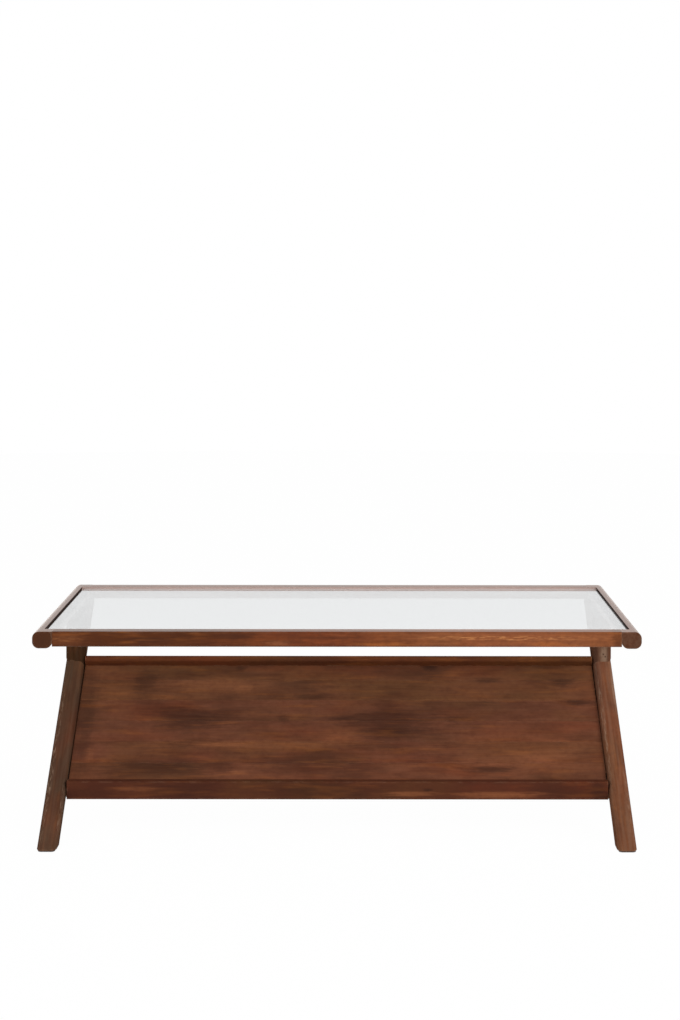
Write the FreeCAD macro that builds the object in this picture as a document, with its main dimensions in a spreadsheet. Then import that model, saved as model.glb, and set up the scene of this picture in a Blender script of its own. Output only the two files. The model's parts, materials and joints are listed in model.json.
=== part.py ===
"""Low glass-topped display table: a wooden frame on two side frames, with a slanted tray between them.

X runs along the table, Y from its front edge to its back edge and Z up, in millimetres.
The origin is on the floor, under the middle of the table top.
"""
import FreeCAD, Part
import math
import os
import Sketcher

# Driving dimensions in millimetres, each under the name that the sheet knows it by.
SIZES = (
    # Whole table
    ("table_length", 1200.0),
    ("table_depth", 600.0),
    ("table_height", 440.0),
    # End rails, which run from front to back at the two ends of the top
    ("end_rail_width", 39.0),
    ("end_rail_height", 33.0),
    ("end_rail_round", 13.0),
    ("end_rail_land", 19.5),
    ("end_rail_ease", 1.2),
    # Front and back rails, which stand between the end rails
    ("cross_rail_depth", 39.0),
    ("cross_rail_height", 30.0),
    ("cross_rail_land", 30.0),
    ("cross_rail_round", 2.5),
    ("cross_rail_setback", 1.5),
    ("rail_dowel_radius", 4.0),
    ("rail_dowel_reach", 20.0),
    ("rail_dowel_drop", 13.0),
    # Loose glass pane in its rebate
    ("glass_thickness", 6.0),
    ("glass_recess", 4.5),
    ("glass_gap", 1.5),
    ("glass_shift", 1.0),
    ("glass_corner", 4.0),
    ("glass_arris", 0.8),
    ("bumper_radius", 3.5),
    ("bumper_height", 1.0),
    # Side frames: a diagonal front leg halved over an upright rear leg
    ("leg_thickness", 39.5),
    ("leg_inset", 4.5),
    ("leg_round", 10.0),
    ("foot_ease", 1.2),
    ("foot_setback", 17.0),
    ("front_leg_width", 35.0),
    ("front_leg_head", 29.0),
    ("front_leg_end_gap", 10.0),
    ("rear_leg_gap", 139.0),
    ("rear_leg_depth", 42.0),
    ("peg_radius", 5.0),
    ("leg_dowel_radius", 5.0),
    ("leg_dowel_reach", 25.0),
    ("dowel_cover", 2.0),
    ("felt_height", 2.0),
    ("felt_margin", 2.5),
    # Slanted tray between the front legs
    ("tray_gap", 2.25),
    ("tray_sink", 16.0),
    ("tray_setback", 151.0),
    ("tray_rail_thickness", 20.0),
    ("tray_rail_rise", 11.7),
    ("tray_rail_drop", 24.6),
    ("tray_rail_round", 2.0),
    ("plank_thickness", 18.0),
    ("plank_ease", 0.6),
    ("lip_thickness", 15.0),
    ("lip_height", 19.0),
    ("lip_round", 6.5),
    ("tray_dowel_radius", 3.0),
    ("tray_dowel_reach", 10.0),
    ("batten_width", 30.0),
    ("batten_thickness", 16.0),
    ("batten_ease", 2.0),
    # Screws, bolts and nuts
    ("screw_radius", 2.0),
    ("screw_reach", 11.0),
    ("screw_head_radius", 4.0),
    ("screw_head_height", 3.0),
    ("bolt_radius", 3.0),
    ("bolt_reach", 42.0),
    ("bolt_head_radius", 8.5),
    ("bolt_head_height", 3.0),
    ("nut_radius", 5.0),
    ("nut_setback", 30.0),
    ("nut_cover", 4.0),
    ("spacer_radius", 8.0),
    # Fits
    ("dowel_fit", 0.1),
    ("cut_overrun", 5.0),
)

# Counts and shares, chosen by hand
PLANK_COUNT = 6
RAIL_DOWEL_SHARES = (0.3, 0.75)
PANEL_END_SHARE = 0.55
TRAY_DOWEL_SHARES = (-0.9, -0.45, 0.0, 0.45, 0.9)
BATTEN_PLACE_SHARE = 0.55
BATTEN_END_SHARE = 0.25
END_BUMPER_SHARES = (-0.7, 0.7)
CROSS_BUMPER_SHARES = (-0.5, 0.5)
SIDES = (("left", -1), ("right", 1))

# Places in the table's own frame, as formulas of the sheet
HALF_LENGTH = "(Sizes.table_length / 2)"
HALF_DEPTH = "(Sizes.table_depth / 2)"
TOP = "Sizes.table_height"
RAIL_UNDERSIDE = "(Sizes.table_height - Sizes.end_rail_height)"
RAIL_INNER = f"({HALF_LENGTH} - Sizes.end_rail_width)"
RAIL_MIDDLE = f"({HALF_LENGTH} - Sizes.end_rail_width / 2)"
END_WALL = f"({HALF_LENGTH} - Sizes.end_rail_land)"
CROSS_OUTER = f"({HALF_DEPTH} - Sizes.cross_rail_setback)"
CROSS_INNER = f"({CROSS_OUTER} - Sizes.cross_rail_depth)"
CROSS_WALL = f"({CROSS_OUTER} - Sizes.cross_rail_land)"
REBATE_DEPTH = "(Sizes.glass_recess + Sizes.glass_thickness + Sizes.bumper_height)"
REBATE_FLOOR = f"({TOP} - {REBATE_DEPTH})"
LEG_OUTER = f"({HALF_LENGTH} - Sizes.leg_inset)"
LEG_INNER = f"({LEG_OUTER} - Sizes.leg_thickness)"
LEG_MIDDLE = f"({LEG_OUTER} - Sizes.leg_thickness / 2)"
LEG_DOWEL_RISE = ("(Sizes.end_rail_height - Sizes.rail_dowel_drop"
                  " - Sizes.rail_dowel_radius - Sizes.dowel_cover)")

# The front leg runs from its foot to its head under the back end of the end rail.
LEG_BACK = f"({HALF_DEPTH} - Sizes.front_leg_end_gap)"
LEG_HEAD = f"({LEG_BACK} - Sizes.front_leg_head)"
LEG_FOOT = f"(Sizes.foot_setback - {HALF_DEPTH})"
LEG_SLOPE = f"atan({RAIL_UNDERSIDE} / ({LEG_HEAD} - {LEG_FOOT}))"
LEG_RUN = f"(Sizes.front_leg_width / sin({LEG_SLOPE}))"
REAR_BACK = f"({HALF_DEPTH} - Sizes.rear_leg_gap)"
REAR_FRONT = f"({REAR_BACK} - Sizes.rear_leg_depth)"
REAR_MIDDLE = f"({REAR_BACK} - Sizes.rear_leg_depth / 2)"

# The tray has a frame of its own, on its top face where that meets the tray's front rail:
# along it runs up the slope and above it stands square to the planks.
TRAY_Y = f"(Sizes.tray_setback + Sizes.tray_rail_thickness - {HALF_DEPTH})"
TRAY_Z = f"(({TRAY_Y} - {LEG_FOOT}) * tan({LEG_SLOPE}) - Sizes.tray_sink / cos({LEG_SLOPE}))"
TRAY_HALF = f"({LEG_INNER} - Sizes.tray_gap)"
PANEL_LENGTH = f"(({REAR_FRONT} + Sizes.rear_leg_depth * {PANEL_END_SHARE} - {TRAY_Y}) / cos({LEG_SLOPE}))"
PLANK_WIDTH = f"({PANEL_LENGTH} / {PLANK_COUNT})"
PLANK_MIDDLE = "(-Sizes.plank_thickness / 2)"
JOINT_MIDDLE = f"({PLANK_MIDDLE} * tan({LEG_SLOPE}))"
BATTEN_UNDERSIDE = "(-Sizes.plank_thickness - Sizes.batten_thickness)"

doc = FreeCAD.newDocument("display_table")
finished = []


def make_sheet():
    """Writes the driving dimensions into the sheet."""
    sheet = doc.addObject("Spreadsheet::Sheet", "Sizes")
    for row, (alias, value) in enumerate(SIZES, start=1):
        sheet.set(f"A{row}", str(value))
        sheet.setAlias(f"A{row}", alias)
    doc.recompute()


def new_body(label, on_tray=False):
    """Starts a piece, in the table's frame or in the tray's."""
    body = doc.addObject("PartDesign::Body", label)
    body.Label = label
    body.AllowCompound = True
    if on_tray:
        tilt = FreeCAD.Rotation(FreeCAD.Vector(1, 0, 0), math.degrees(math.atan(1)))
        body.Placement = FreeCAD.Placement(FreeCAD.Vector(0, 0, 0), tilt)
        body.setExpression("Placement.Base.y", TRAY_Y)
        body.setExpression("Placement.Base.z", TRAY_Z)
        body.setExpression("Placement.Rotation.Angle", LEG_SLOPE)
    finished.append(body)
    return body


def add_sketch(body, role, offset="0"):
    """Puts a sketch on one of the body's own planes, moved along the plane's normal."""
    plane = next(item for item in body.Origin.OriginFeatures if item.Role == role)
    sketch = body.newObject("Sketcher::SketchObject", f"{body.Label}_sketch")
    sketch.AttachmentSupport = [(plane, "")]
    sketch.MapMode = "FlatFace"
    sketch.setExpression("AttachmentOffset.Base.z", offset)
    return sketch


def bind_point(sketch, item, point, start, place):
    """Ties one point of a sketch to a place given by two formulas."""
    for kind, value, formula in zip(("DistanceX", "DistanceY"), start, place):
        index = sketch.addConstraint(Sketcher.Constraint(kind, -1, 1, item, point, value))
        sketch.setExpression(f"Constraints[{index}]", formula)


def draw_outline(sketch, places):
    """Draws a closed outline of straight lines through the given places."""
    count = len(places)
    first = sketch.GeometryCount
    turns = [2 * math.pi * index / count for index in range(count)]
    starts = [(math.cos(turn), math.sin(turn)) for turn in turns]
    for index in range(count):
        here = FreeCAD.Vector(*starts[index], 0)
        there = FreeCAD.Vector(*starts[(index + 1) % count], 0)
        sketch.addGeometry(Part.LineSegment(here, there))
    for index in range(count):
        following = first + (index + 1) % count
        sketch.addConstraint(Sketcher.Constraint("Coincident", first + index, 2, following, 1))
    for index, place in enumerate(places):
        bind_point(sketch, first + index, 1, starts[index], place)


def draw_rectangle(sketch, left, right, low, high):
    """Draws a rectangle between two formulas each way."""
    draw_outline(sketch, [(left, low), (right, low), (right, high), (left, high)])


def draw_circle(sketch, across, up, radius):
    """Draws a circle about a place given by two formulas."""
    ring = Part.Circle(FreeCAD.Vector(0, 0, 0), FreeCAD.Vector(0, 0, 1), 1)
    item = sketch.addGeometry(ring)
    bind_point(sketch, item, 3, (0, 0), (across, up))
    index = sketch.addConstraint(Sketcher.Constraint("Radius", item, 1))
    sketch.setExpression(f"Constraints[{index}]", radius)


def add_pad(body, sketch, length, both_ways=False):
    """Raises a sketch along its normal, or half each way."""
    pad = body.newObject("PartDesign::Pad", f"{body.Label}_pad")
    pad.Profile = sketch
    pad.SideType = "Symmetric" if both_ways else "One side"
    pad.setExpression("Length", length)
    doc.recompute()


def add_pocket(body, sketch, depth, along_normal=False):
    """Cuts a sketch against its normal, or along it, and makes sure that it cuts."""
    before = body.Tip.Shape.Volume
    pocket = body.newObject("PartDesign::Pocket", f"{body.Label}_pocket")
    pocket.Profile = sketch
    pocket.Reversed = along_normal
    pocket.setExpression("Length", depth)
    doc.recompute()
    if not pocket.Shape.Volume < before:
        raise RuntimeError(f"a cut in {body.Label} removes nothing")


def add_rounding(body, radius, wanted):
    """Rounds the edges that the test picks by their direction and middle."""
    base = body.Tip
    box = FreeCAD.BoundBox()
    for corner in base.Shape.Vertexes:
        box.add(corner.Point)
    names = []
    for number, edge in enumerate(base.Shape.Edges, start=1):
        direction = edge.tangentAt(edge.FirstParameter)
        if wanted(direction, edge.CenterOfMass, box):
            names.append(f"Edge{number}")
    rounding = body.newObject("PartDesign::Fillet", f"{body.Label}_rounding")
    rounding.Base = (base, names)
    rounding.setExpression("Radius", radius)
    doc.recompute()


def is_along(direction, axis):
    """Tells whether an edge runs along X, Y or Z."""
    return abs(abs(getattr(direction, axis)) - 1) < 1e-6


def is_slanted_edge(direction, middle, box):
    """Picks the edges that run up the diagonal leg."""
    return abs(direction.y) > 1e-6 and abs(direction.z) > 1e-6


def is_upright_edge(direction, middle, box):
    """Picks the edges that run straight up."""
    return is_along(direction, "z")


def is_end_rim(direction, middle, box):
    """Picks the rims of a piece's front and back ends."""
    at_end = min(abs(middle.y - box.YMin), abs(middle.y - box.YMax)) < 1e-3
    return abs(direction.y) < 1e-6 and at_end


def is_foot_rim(direction, middle, box):
    """Picks the rim of a leg's foot."""
    return abs(direction.z) < 1e-6 and abs(middle.z - box.ZMin) < 1e-3


def drill_along_x(body, sides, face, places, radius, depth, outward):
    """Drills into faces across the table's length, mirrored to the sides that are asked for."""
    for sign in sides:
        sketch = add_sketch(body, "YZ_Plane", f"{sign} * {face}")
        for along, up in places:
            draw_circle(sketch, along, up, radius)
        add_pocket(body, sketch, depth, along_normal=(sign > 0) == outward)


def drill_upright(body, height, places, radius, depth, upward):
    """Drills along Z from one height."""
    sketch = add_sketch(body, "XY_Plane", height)
    for across, along in places:
        draw_circle(sketch, across, along, radius)
    add_pocket(body, sketch, depth, along_normal=upward)


def pad_across(body, sign, near, far, draw):
    """Raises a sketch between two distances from the table's middle, on one side."""
    sketch = add_sketch(body, "YZ_Plane", near if sign > 0 else f"-{far}")
    draw(sketch)
    add_pad(body, sketch, f"{far} - {near}")


def rail_dowel_places():
    """Gives the dowels of the four rail joints, front and back, as seen along the table."""
    height = f"{TOP} - Sizes.rail_dowel_drop"
    return {
        sign: [(f"{sign} * ({CROSS_OUTER} - Sizes.cross_rail_land * {share})", height)
               for share in RAIL_DOWEL_SHARES]
        for sign in (-1, 1)
    }


def leg_dowel_places(sign):
    """Gives the upright dowels over one side frame."""
    across = f"{sign} * {RAIL_MIDDLE}"
    return {
        "rear": [(across, REAR_MIDDLE)],
        "front": [(across, f"{LEG_BACK} - Sizes.front_leg_head / 2")],
    }


def front_leg_outline():
    """Gives the diagonal leg as seen from the side, level at both ends and trimmed upright at the back."""
    foot = f"{LEG_FOOT} + Sizes.felt_height / tan({LEG_SLOPE})"
    trim = f"({LEG_BACK} - {LEG_FOOT} - {LEG_RUN}) * tan({LEG_SLOPE})"
    return [
        (foot, "Sizes.felt_height"),
        (f"{foot} + {LEG_RUN}", "Sizes.felt_height"),
        (LEG_BACK, trim),
        (LEG_BACK, RAIL_UNDERSIDE),
        (LEG_HEAD, RAIL_UNDERSIDE),
    ]


def peg_place():
    """Gives the peg through the middle of the halved joint, as seen from the side."""
    height = f"({REAR_MIDDLE} - {LEG_FOOT} - {LEG_RUN} / 2) * tan({LEG_SLOPE})"
    return [(REAR_MIDDLE, height)]


def plank_middle(number):
    """Gives the middle of a plank up the tray's slope, counted from the front."""
    return f"({PLANK_WIDTH} * ({number} - 1 / 2))"


def bolted_planks():
    """Gives the planks that take the tray bolts: the first and the last but one."""
    return [1, PLANK_COUNT - 1]


def bolt_places_on_tray():
    """Gives the tray bolts in the tray's frame, as seen along the table."""
    return [(plank_middle(number), PLANK_MIDDLE) for number in bolted_planks()]


def bolt_places_on_table():
    """Gives the same tray bolts in the table's frame."""
    places = []
    for along, above in bolt_places_on_tray():
        back = f"{TRAY_Y} + {along} * cos({LEG_SLOPE}) - {above} * sin({LEG_SLOPE})"
        up = f"{TRAY_Z} + {along} * sin({LEG_SLOPE}) + {above} * cos({LEG_SLOPE})"
        places.append((back, up))
    return places


def tray_dowel_crossings():
    """Gives the dowels' places across the tray."""
    return [f"{TRAY_HALF} * {share}" for share in TRAY_DOWEL_SHARES]


def batten_centre(sign):
    """Gives the middle of a batten across the tray."""
    return f"({sign} * {TRAY_HALF} * {BATTEN_PLACE_SHARE})"


def upright_on_tray(back, up):
    """Turns a place, level and upright from the tray's origin, into the tray's frame."""
    along = f"({back}) * cos({LEG_SLOPE}) + ({up}) * sin({LEG_SLOPE})"
    above = f"({up}) * cos({LEG_SLOPE}) - ({back}) * sin({LEG_SLOPE})"
    return along, above


def build_end_rail(name, sign):
    """Builds an end rail, round at three long edges, with a stopped rebate for the glass."""
    body = new_body(f"end_rail_{name}")
    section = add_sketch(body, "XZ_Plane")
    draw_rectangle(section, f"{sign} * {RAIL_INNER}", f"{sign} * {HALF_LENGTH}", RAIL_UNDERSIDE, TOP)
    add_pad(body, section, "Sizes.table_depth", both_ways=True)

    def is_outer_edge(direction, middle, box):
        at_inner_top = sign * (middle.x - box.Center.x) < 0 and middle.z > box.Center.z
        return is_along(direction, "y") and not at_inner_top

    add_rounding(body, "Sizes.end_rail_round", is_outer_edge)
    add_rounding(body, "Sizes.end_rail_ease", is_end_rim)
    rebate = add_sketch(body, "XY_Plane", TOP)
    opening = f"{sign} * ({RAIL_INNER} - Sizes.cut_overrun)"
    draw_rectangle(rebate, opening, f"{sign} * {END_WALL}", f"-{CROSS_WALL}", CROSS_WALL)
    add_pocket(body, rebate, REBATE_DEPTH)
    dowel_hole = "Sizes.rail_dowel_radius + Sizes.dowel_fit"
    for places in rail_dowel_places().values():
        drill_along_x(body, (sign,), RAIL_INNER, places, dowel_hole, "Sizes.rail_dowel_reach", outward=True)
    leg_hole = "Sizes.leg_dowel_radius + Sizes.dowel_fit"
    for places in leg_dowel_places(sign).values():
        drill_upright(body, RAIL_UNDERSIDE, places, leg_hole, LEG_DOWEL_RISE, upward=True)


def build_cross_rail(name, sign):
    """Builds the front or back rail, with a rebate for the glass along its inner side."""
    body = new_body(name)
    section = add_sketch(body, "YZ_Plane")
    low = f"{TOP} - Sizes.cross_rail_height"
    draw_rectangle(section, f"{sign} * {CROSS_INNER}", f"{sign} * {CROSS_OUTER}", low, TOP)
    add_pad(body, section, f"2 * {RAIL_INNER}", both_ways=True)

    def is_outer_edge(direction, middle, box):
        at_inner_top = sign * (middle.y - box.Center.y) < 0 and middle.z > box.Center.z
        return is_along(direction, "x") and not at_inner_top

    add_rounding(body, "Sizes.cross_rail_round", is_outer_edge)
    rebate = add_sketch(body, "XY_Plane", TOP)
    opening = f"{sign} * ({CROSS_INNER} - Sizes.cut_overrun)"
    draw_rectangle(rebate, f"-{HALF_LENGTH}", HALF_LENGTH, opening, f"{sign} * {CROSS_WALL}")
    add_pocket(body, rebate, REBATE_DEPTH)
    hole = "Sizes.rail_dowel_radius + Sizes.dowel_fit"
    places = rail_dowel_places()[sign]
    drill_along_x(body, (-1, 1), RAIL_INNER, places, hole, "Sizes.rail_dowel_reach", outward=False)


def build_rail_dowels():
    """Builds the dowels that join the front and back rails to the end rails."""
    body = new_body("rail_dowels")
    for side in (-1, 1):
        sketch = add_sketch(body, "YZ_Plane", f"{side} * {RAIL_INNER}")
        for places in rail_dowel_places().values():
            for along, up in places:
                draw_circle(sketch, along, up, "Sizes.rail_dowel_radius")
        add_pad(body, sketch, "2 * Sizes.rail_dowel_reach", both_ways=True)


def build_glass():
    """Builds the loose pane, with round corners and a polished edge, and the bumpers that it lies on."""
    pane = new_body("glass_pane")
    across = f"({END_WALL} - Sizes.glass_gap)"
    along = f"({CROSS_WALL} - Sizes.glass_gap)"
    outline = add_sketch(pane, "XY_Plane", f"{REBATE_FLOOR} + Sizes.bumper_height")
    left = f"Sizes.glass_shift - {across}"
    right = f"Sizes.glass_shift + {across}"
    draw_rectangle(outline, left, right, f"-{along}", along)
    add_pad(pane, outline, "Sizes.glass_thickness")
    add_rounding(pane, "Sizes.glass_corner", is_upright_edge)

    def is_rim(direction, middle, box):
        return abs(direction.z) < 1e-6

    add_rounding(pane, "Sizes.glass_arris", is_rim)
    bumpers = new_body("glass_bumpers")
    places = [(f"{sign} * ({across} - Sizes.bumper_radius)", f"{CROSS_INNER} * {share}")
              for sign in (-1, 1) for share in END_BUMPER_SHARES]
    places += [(f"{RAIL_INNER} * {share}", f"{sign} * ({along} - Sizes.bumper_radius)")
               for sign in (-1, 1) for share in CROSS_BUMPER_SHARES]
    sketch = add_sketch(bumpers, "XY_Plane", REBATE_FLOOR)
    for place in places:
        draw_circle(sketch, *place, "Sizes.bumper_radius")
    add_pad(bumpers, sketch, "Sizes.bumper_height")


def build_front_leg(name, sign):
    """Builds a diagonal front leg, halved on its inner side and bored for the tray bolts."""
    body = new_body(f"front_leg_{name}")
    pad_across(body, sign, LEG_INNER, LEG_OUTER, lambda sketch: draw_outline(sketch, front_leg_outline()))
    add_rounding(body, "Sizes.leg_round", is_slanted_edge)
    add_rounding(body, "Sizes.foot_ease", is_foot_rim)
    far_side = LEG_MIDDLE if sign > 0 else f"-{LEG_INNER} + Sizes.cut_overrun"
    halving = add_sketch(body, "YZ_Plane", far_side)
    draw_rectangle(halving, REAR_FRONT, REAR_BACK, "0", TOP)
    add_pocket(body, halving, "Sizes.leg_thickness / 2 + Sizes.cut_overrun")
    peg_hole = "Sizes.peg_radius + Sizes.dowel_fit"
    drill_along_x(body, (sign,), LEG_OUTER, peg_place(), peg_hole, "Sizes.leg_thickness", outward=False)
    bolt_hole = "Sizes.bolt_radius + Sizes.dowel_fit"
    head_hole = "Sizes.bolt_head_radius + Sizes.dowel_fit"
    places = bolt_places_on_table()
    drill_along_x(body, (sign,), LEG_OUTER, places, bolt_hole, "Sizes.leg_thickness", outward=False)
    drill_along_x(body, (sign,), LEG_OUTER, places, head_hole, "Sizes.bolt_head_height", outward=False)
    dowel_hole = "Sizes.leg_dowel_radius + Sizes.dowel_fit"
    tops = leg_dowel_places(sign)["front"]
    drill_upright(body, RAIL_UNDERSIDE, tops, dowel_hole, "Sizes.leg_dowel_reach", upward=False)


def build_rear_leg(name, sign):
    """Builds an upright rear leg, halved on its outer side where the front leg crosses it."""
    body = new_body(f"rear_leg_{name}")
    section = add_sketch(body, "XY_Plane", "Sizes.felt_height")
    draw_rectangle(section, f"{sign} * {LEG_INNER}", f"{sign} * {LEG_OUTER}", REAR_FRONT, REAR_BACK)
    add_pad(body, section, f"{RAIL_UNDERSIDE} - Sizes.felt_height")
    add_rounding(body, "Sizes.leg_round", is_upright_edge)
    add_rounding(body, "Sizes.foot_ease", is_foot_rim)
    far_side = f"{LEG_OUTER} + Sizes.cut_overrun" if sign > 0 else f"-{LEG_MIDDLE}"
    halving = add_sketch(body, "YZ_Plane", far_side)
    draw_outline(halving, front_leg_outline())
    add_pocket(body, halving, "Sizes.leg_thickness / 2 + Sizes.cut_overrun")
    peg_hole = "Sizes.peg_radius + Sizes.dowel_fit"
    drill_along_x(body, (sign,), LEG_OUTER, peg_place(), peg_hole, "Sizes.leg_thickness", outward=False)
    dowel_hole = "Sizes.leg_dowel_radius + Sizes.dowel_fit"
    tops = leg_dowel_places(sign)["rear"]
    drill_upright(body, RAIL_UNDERSIDE, tops, dowel_hole, "Sizes.leg_dowel_reach", upward=False)


def build_leg_fixings():
    """Builds the pegs of the halved joints and the dowels between the legs and the end rails."""
    pegs = new_body("lap_pegs")
    for _, sign in SIDES:
        place = peg_place()[0]
        pad_across(pegs, sign, LEG_INNER, LEG_OUTER,
                   lambda sketch: draw_circle(sketch, *place, "Sizes.peg_radius"))
    dowels = new_body("leg_dowels")
    sketch = add_sketch(dowels, "XY_Plane", f"{RAIL_UNDERSIDE} - Sizes.leg_dowel_reach")
    for _, sign in SIDES:
        for places in leg_dowel_places(sign).values():
            for place in places:
                draw_circle(sketch, *place, "Sizes.leg_dowel_radius")
    add_pad(dowels, sketch, f"Sizes.leg_dowel_reach + {LEG_DOWEL_RISE}")


def build_felt_pads(name, sign):
    """Builds the felt pads under one side frame."""
    foot = f"{LEG_FOOT} + Sizes.felt_height / tan({LEG_SLOPE})"
    spans = {"front": (foot, f"{foot} + {LEG_RUN}"), "rear": (REAR_FRONT, REAR_BACK)}
    for place, (front, back) in spans.items():
        body = new_body(f"felt_pad_{place}_{name}")
        sketch = add_sketch(body, "XY_Plane")
        inner = f"{sign} * ({LEG_INNER} + Sizes.felt_margin)"
        outer = f"{sign} * ({LEG_OUTER} - Sizes.felt_margin)"
        draw_rectangle(sketch, inner, outer, f"{front} + Sizes.felt_margin", f"{back} - Sizes.felt_margin")
        add_pad(body, sketch, "Sizes.felt_height")
        add_rounding(body, "Sizes.leg_round - Sizes.felt_margin", is_upright_edge)


def build_plank(number):
    """Builds one plank of the tray, counted from the front, with its dowel, screw and bolt holes."""
    body = new_body(f"tray_plank_{number}", on_tray=True)
    low = f"{PLANK_WIDTH} * ({number} - 1)"
    high = f"{PLANK_WIDTH} * {number}"
    foot = f"-Sizes.plank_thickness * tan({LEG_SLOPE})" if number == 1 else low
    section = add_sketch(body, "YZ_Plane")
    underside = "-Sizes.plank_thickness"
    draw_outline(section, [(low, "0"), (high, "0"), (high, underside), (foot, underside)])
    add_pad(body, section, f"2 * {TRAY_HALF}", both_ways=True)

    def is_top_edge(direction, middle, box):
        return is_along(direction, "x") and middle.z > box.Center.z

    add_rounding(body, "Sizes.plank_ease", is_top_edge)
    screw_places = [(batten_centre(sign), plank_middle(number)) for _, sign in SIDES]
    screw_hole = "Sizes.screw_radius + Sizes.dowel_fit"
    drill_upright(body, underside, screw_places, screw_hole, "Sizes.screw_reach", upward=True)
    if number in bolted_planks():
        bolt_hole = "Sizes.bolt_radius + Sizes.dowel_fit"
        places = [(plank_middle(number), PLANK_MIDDLE)]
        drill_along_x(body, (-1, 1), TRAY_HALF, places, bolt_hole, "Sizes.bolt_reach", outward=False)
        nut_hole = "Sizes.nut_radius + Sizes.dowel_fit"
        nut_depth = "Sizes.plank_thickness - Sizes.nut_cover"
        drill_upright(body, underside, nut_places((number,)), nut_hole, nut_depth, upward=True)
    dowel_hole = "Sizes.tray_dowel_radius + Sizes.dowel_fit"
    if number == 1:
        drill_joint(body, dowel_hole, into_rail=False)
    if number == PLANK_COUNT:
        drill_upright(body, "0", lip_dowel_places(), dowel_hole, "Sizes.tray_dowel_reach", upward=False)


def nut_places(numbers):
    """Gives the barrel nuts of some planks, as seen square to the tray."""
    across = f"({TRAY_HALF} - Sizes.nut_setback)"
    return [(f"{sign} * {across}", plank_middle(number)) for number in numbers for _, sign in SIDES]


def lip_dowel_places():
    """Gives the dowels under the back lip, as seen square to the tray."""
    along = f"{PANEL_LENGTH} - Sizes.lip_thickness / 2"
    return [(across, along) for across in tray_dowel_crossings()]


def drill_joint(body, radius, into_rail):
    """Drills the slanting joint of the tray's front rail, past its face so that the bore is whole."""
    past = f"(({radius}) * tan({LEG_SLOPE}))"
    start = f"{JOINT_MIDDLE} + {past}" if into_rail else f"{JOINT_MIDDLE} - {past}"
    sketch = add_sketch(body, "XZ_Plane", f"-({start})")
    for across in tray_dowel_crossings():
        draw_circle(sketch, across, PLANK_MIDDLE, radius)
    add_pocket(body, sketch, f"Sizes.tray_dowel_reach + {past}", along_normal=into_rail)


def build_tray_rail():
    """Builds the upright rail along the front of the tray."""
    body = new_body("tray_front_rail", on_tray=True)
    section = add_sketch(body, "YZ_Plane")
    front = "-Sizes.tray_rail_thickness"
    corners = [(front, "-Sizes.tray_rail_drop"), ("0", "-Sizes.tray_rail_drop"),
               ("0", "Sizes.tray_rail_rise"), (front, "Sizes.tray_rail_rise")]
    draw_outline(section, [upright_on_tray(*corner) for corner in corners])
    add_pad(body, section, f"2 * {TRAY_HALF}", both_ways=True)

    def is_top_edge(direction, middle, box):
        return is_along(direction, "x") and middle.z > box.Center.z

    add_rounding(body, "Sizes.tray_rail_round", is_top_edge)
    drill_joint(body, "Sizes.tray_dowel_radius + Sizes.dowel_fit", into_rail=True)


def build_tray_lip():
    """Builds the lip that stands on the back edge of the tray."""
    body = new_body("tray_back_lip", on_tray=True)
    section = add_sketch(body, "YZ_Plane")
    draw_rectangle(section, f"{PANEL_LENGTH} - Sizes.lip_thickness", PANEL_LENGTH, "0", "Sizes.lip_height")
    add_pad(body, section, f"2 * {TRAY_HALF}", both_ways=True)

    def is_top_edge(direction, middle, box):
        return is_along(direction, "x") and middle.z > box.Center.z

    add_rounding(body, "Sizes.lip_round", is_top_edge)
    hole = "Sizes.tray_dowel_radius + Sizes.dowel_fit"
    drill_upright(body, "0", lip_dowel_places(), hole, "Sizes.tray_dowel_reach", upward=True)


def build_tray_dowels():
    """Builds the dowels that hold the tray's front rail and back lip."""
    body = new_body("tray_dowels", on_tray=True)
    front = add_sketch(body, "XZ_Plane", f"-{JOINT_MIDDLE}")
    for across in tray_dowel_crossings():
        draw_circle(front, across, PLANK_MIDDLE, "Sizes.tray_dowel_radius")
    add_pad(body, front, "2 * Sizes.tray_dowel_reach", both_ways=True)
    back = add_sketch(body, "XY_Plane")
    for place in lip_dowel_places():
        draw_circle(back, *place, "Sizes.tray_dowel_radius")
    add_pad(body, back, "2 * Sizes.tray_dowel_reach", both_ways=True)


def batten_screw_places(sign):
    """Gives the screws of one batten, one to a plank, as seen square to the tray."""
    return [(batten_centre(sign), plank_middle(number)) for number in range(1, PLANK_COUNT + 1)]


def build_batten(name, sign):
    """Builds a batten that runs up under the planks."""
    body = new_body(f"tray_batten_{name}", on_tray=True)
    sketch = add_sketch(body, "XY_Plane", BATTEN_UNDERSIDE)
    middle = batten_centre(sign)
    low = f"{PLANK_WIDTH} * {BATTEN_END_SHARE}"
    draw_rectangle(sketch, f"{middle} - Sizes.batten_width / 2", f"{middle} + Sizes.batten_width / 2",
                   low, f"{PANEL_LENGTH} - {low}")
    add_pad(body, sketch, "Sizes.batten_thickness")

    def is_lower_edge(direction, middle, box):
        return abs(direction.z) < 1e-6 and middle.z < box.Center.z

    add_rounding(body, "Sizes.batten_ease", is_lower_edge)
    places = batten_screw_places(sign)
    shank_hole = "Sizes.screw_radius + Sizes.dowel_fit"
    head_hole = "Sizes.screw_head_radius + Sizes.dowel_fit"
    drill_upright(body, BATTEN_UNDERSIDE, places, shank_hole, "Sizes.batten_thickness", upward=True)
    drill_upright(body, BATTEN_UNDERSIDE, places, head_hole, "Sizes.screw_head_height", upward=True)


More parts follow.
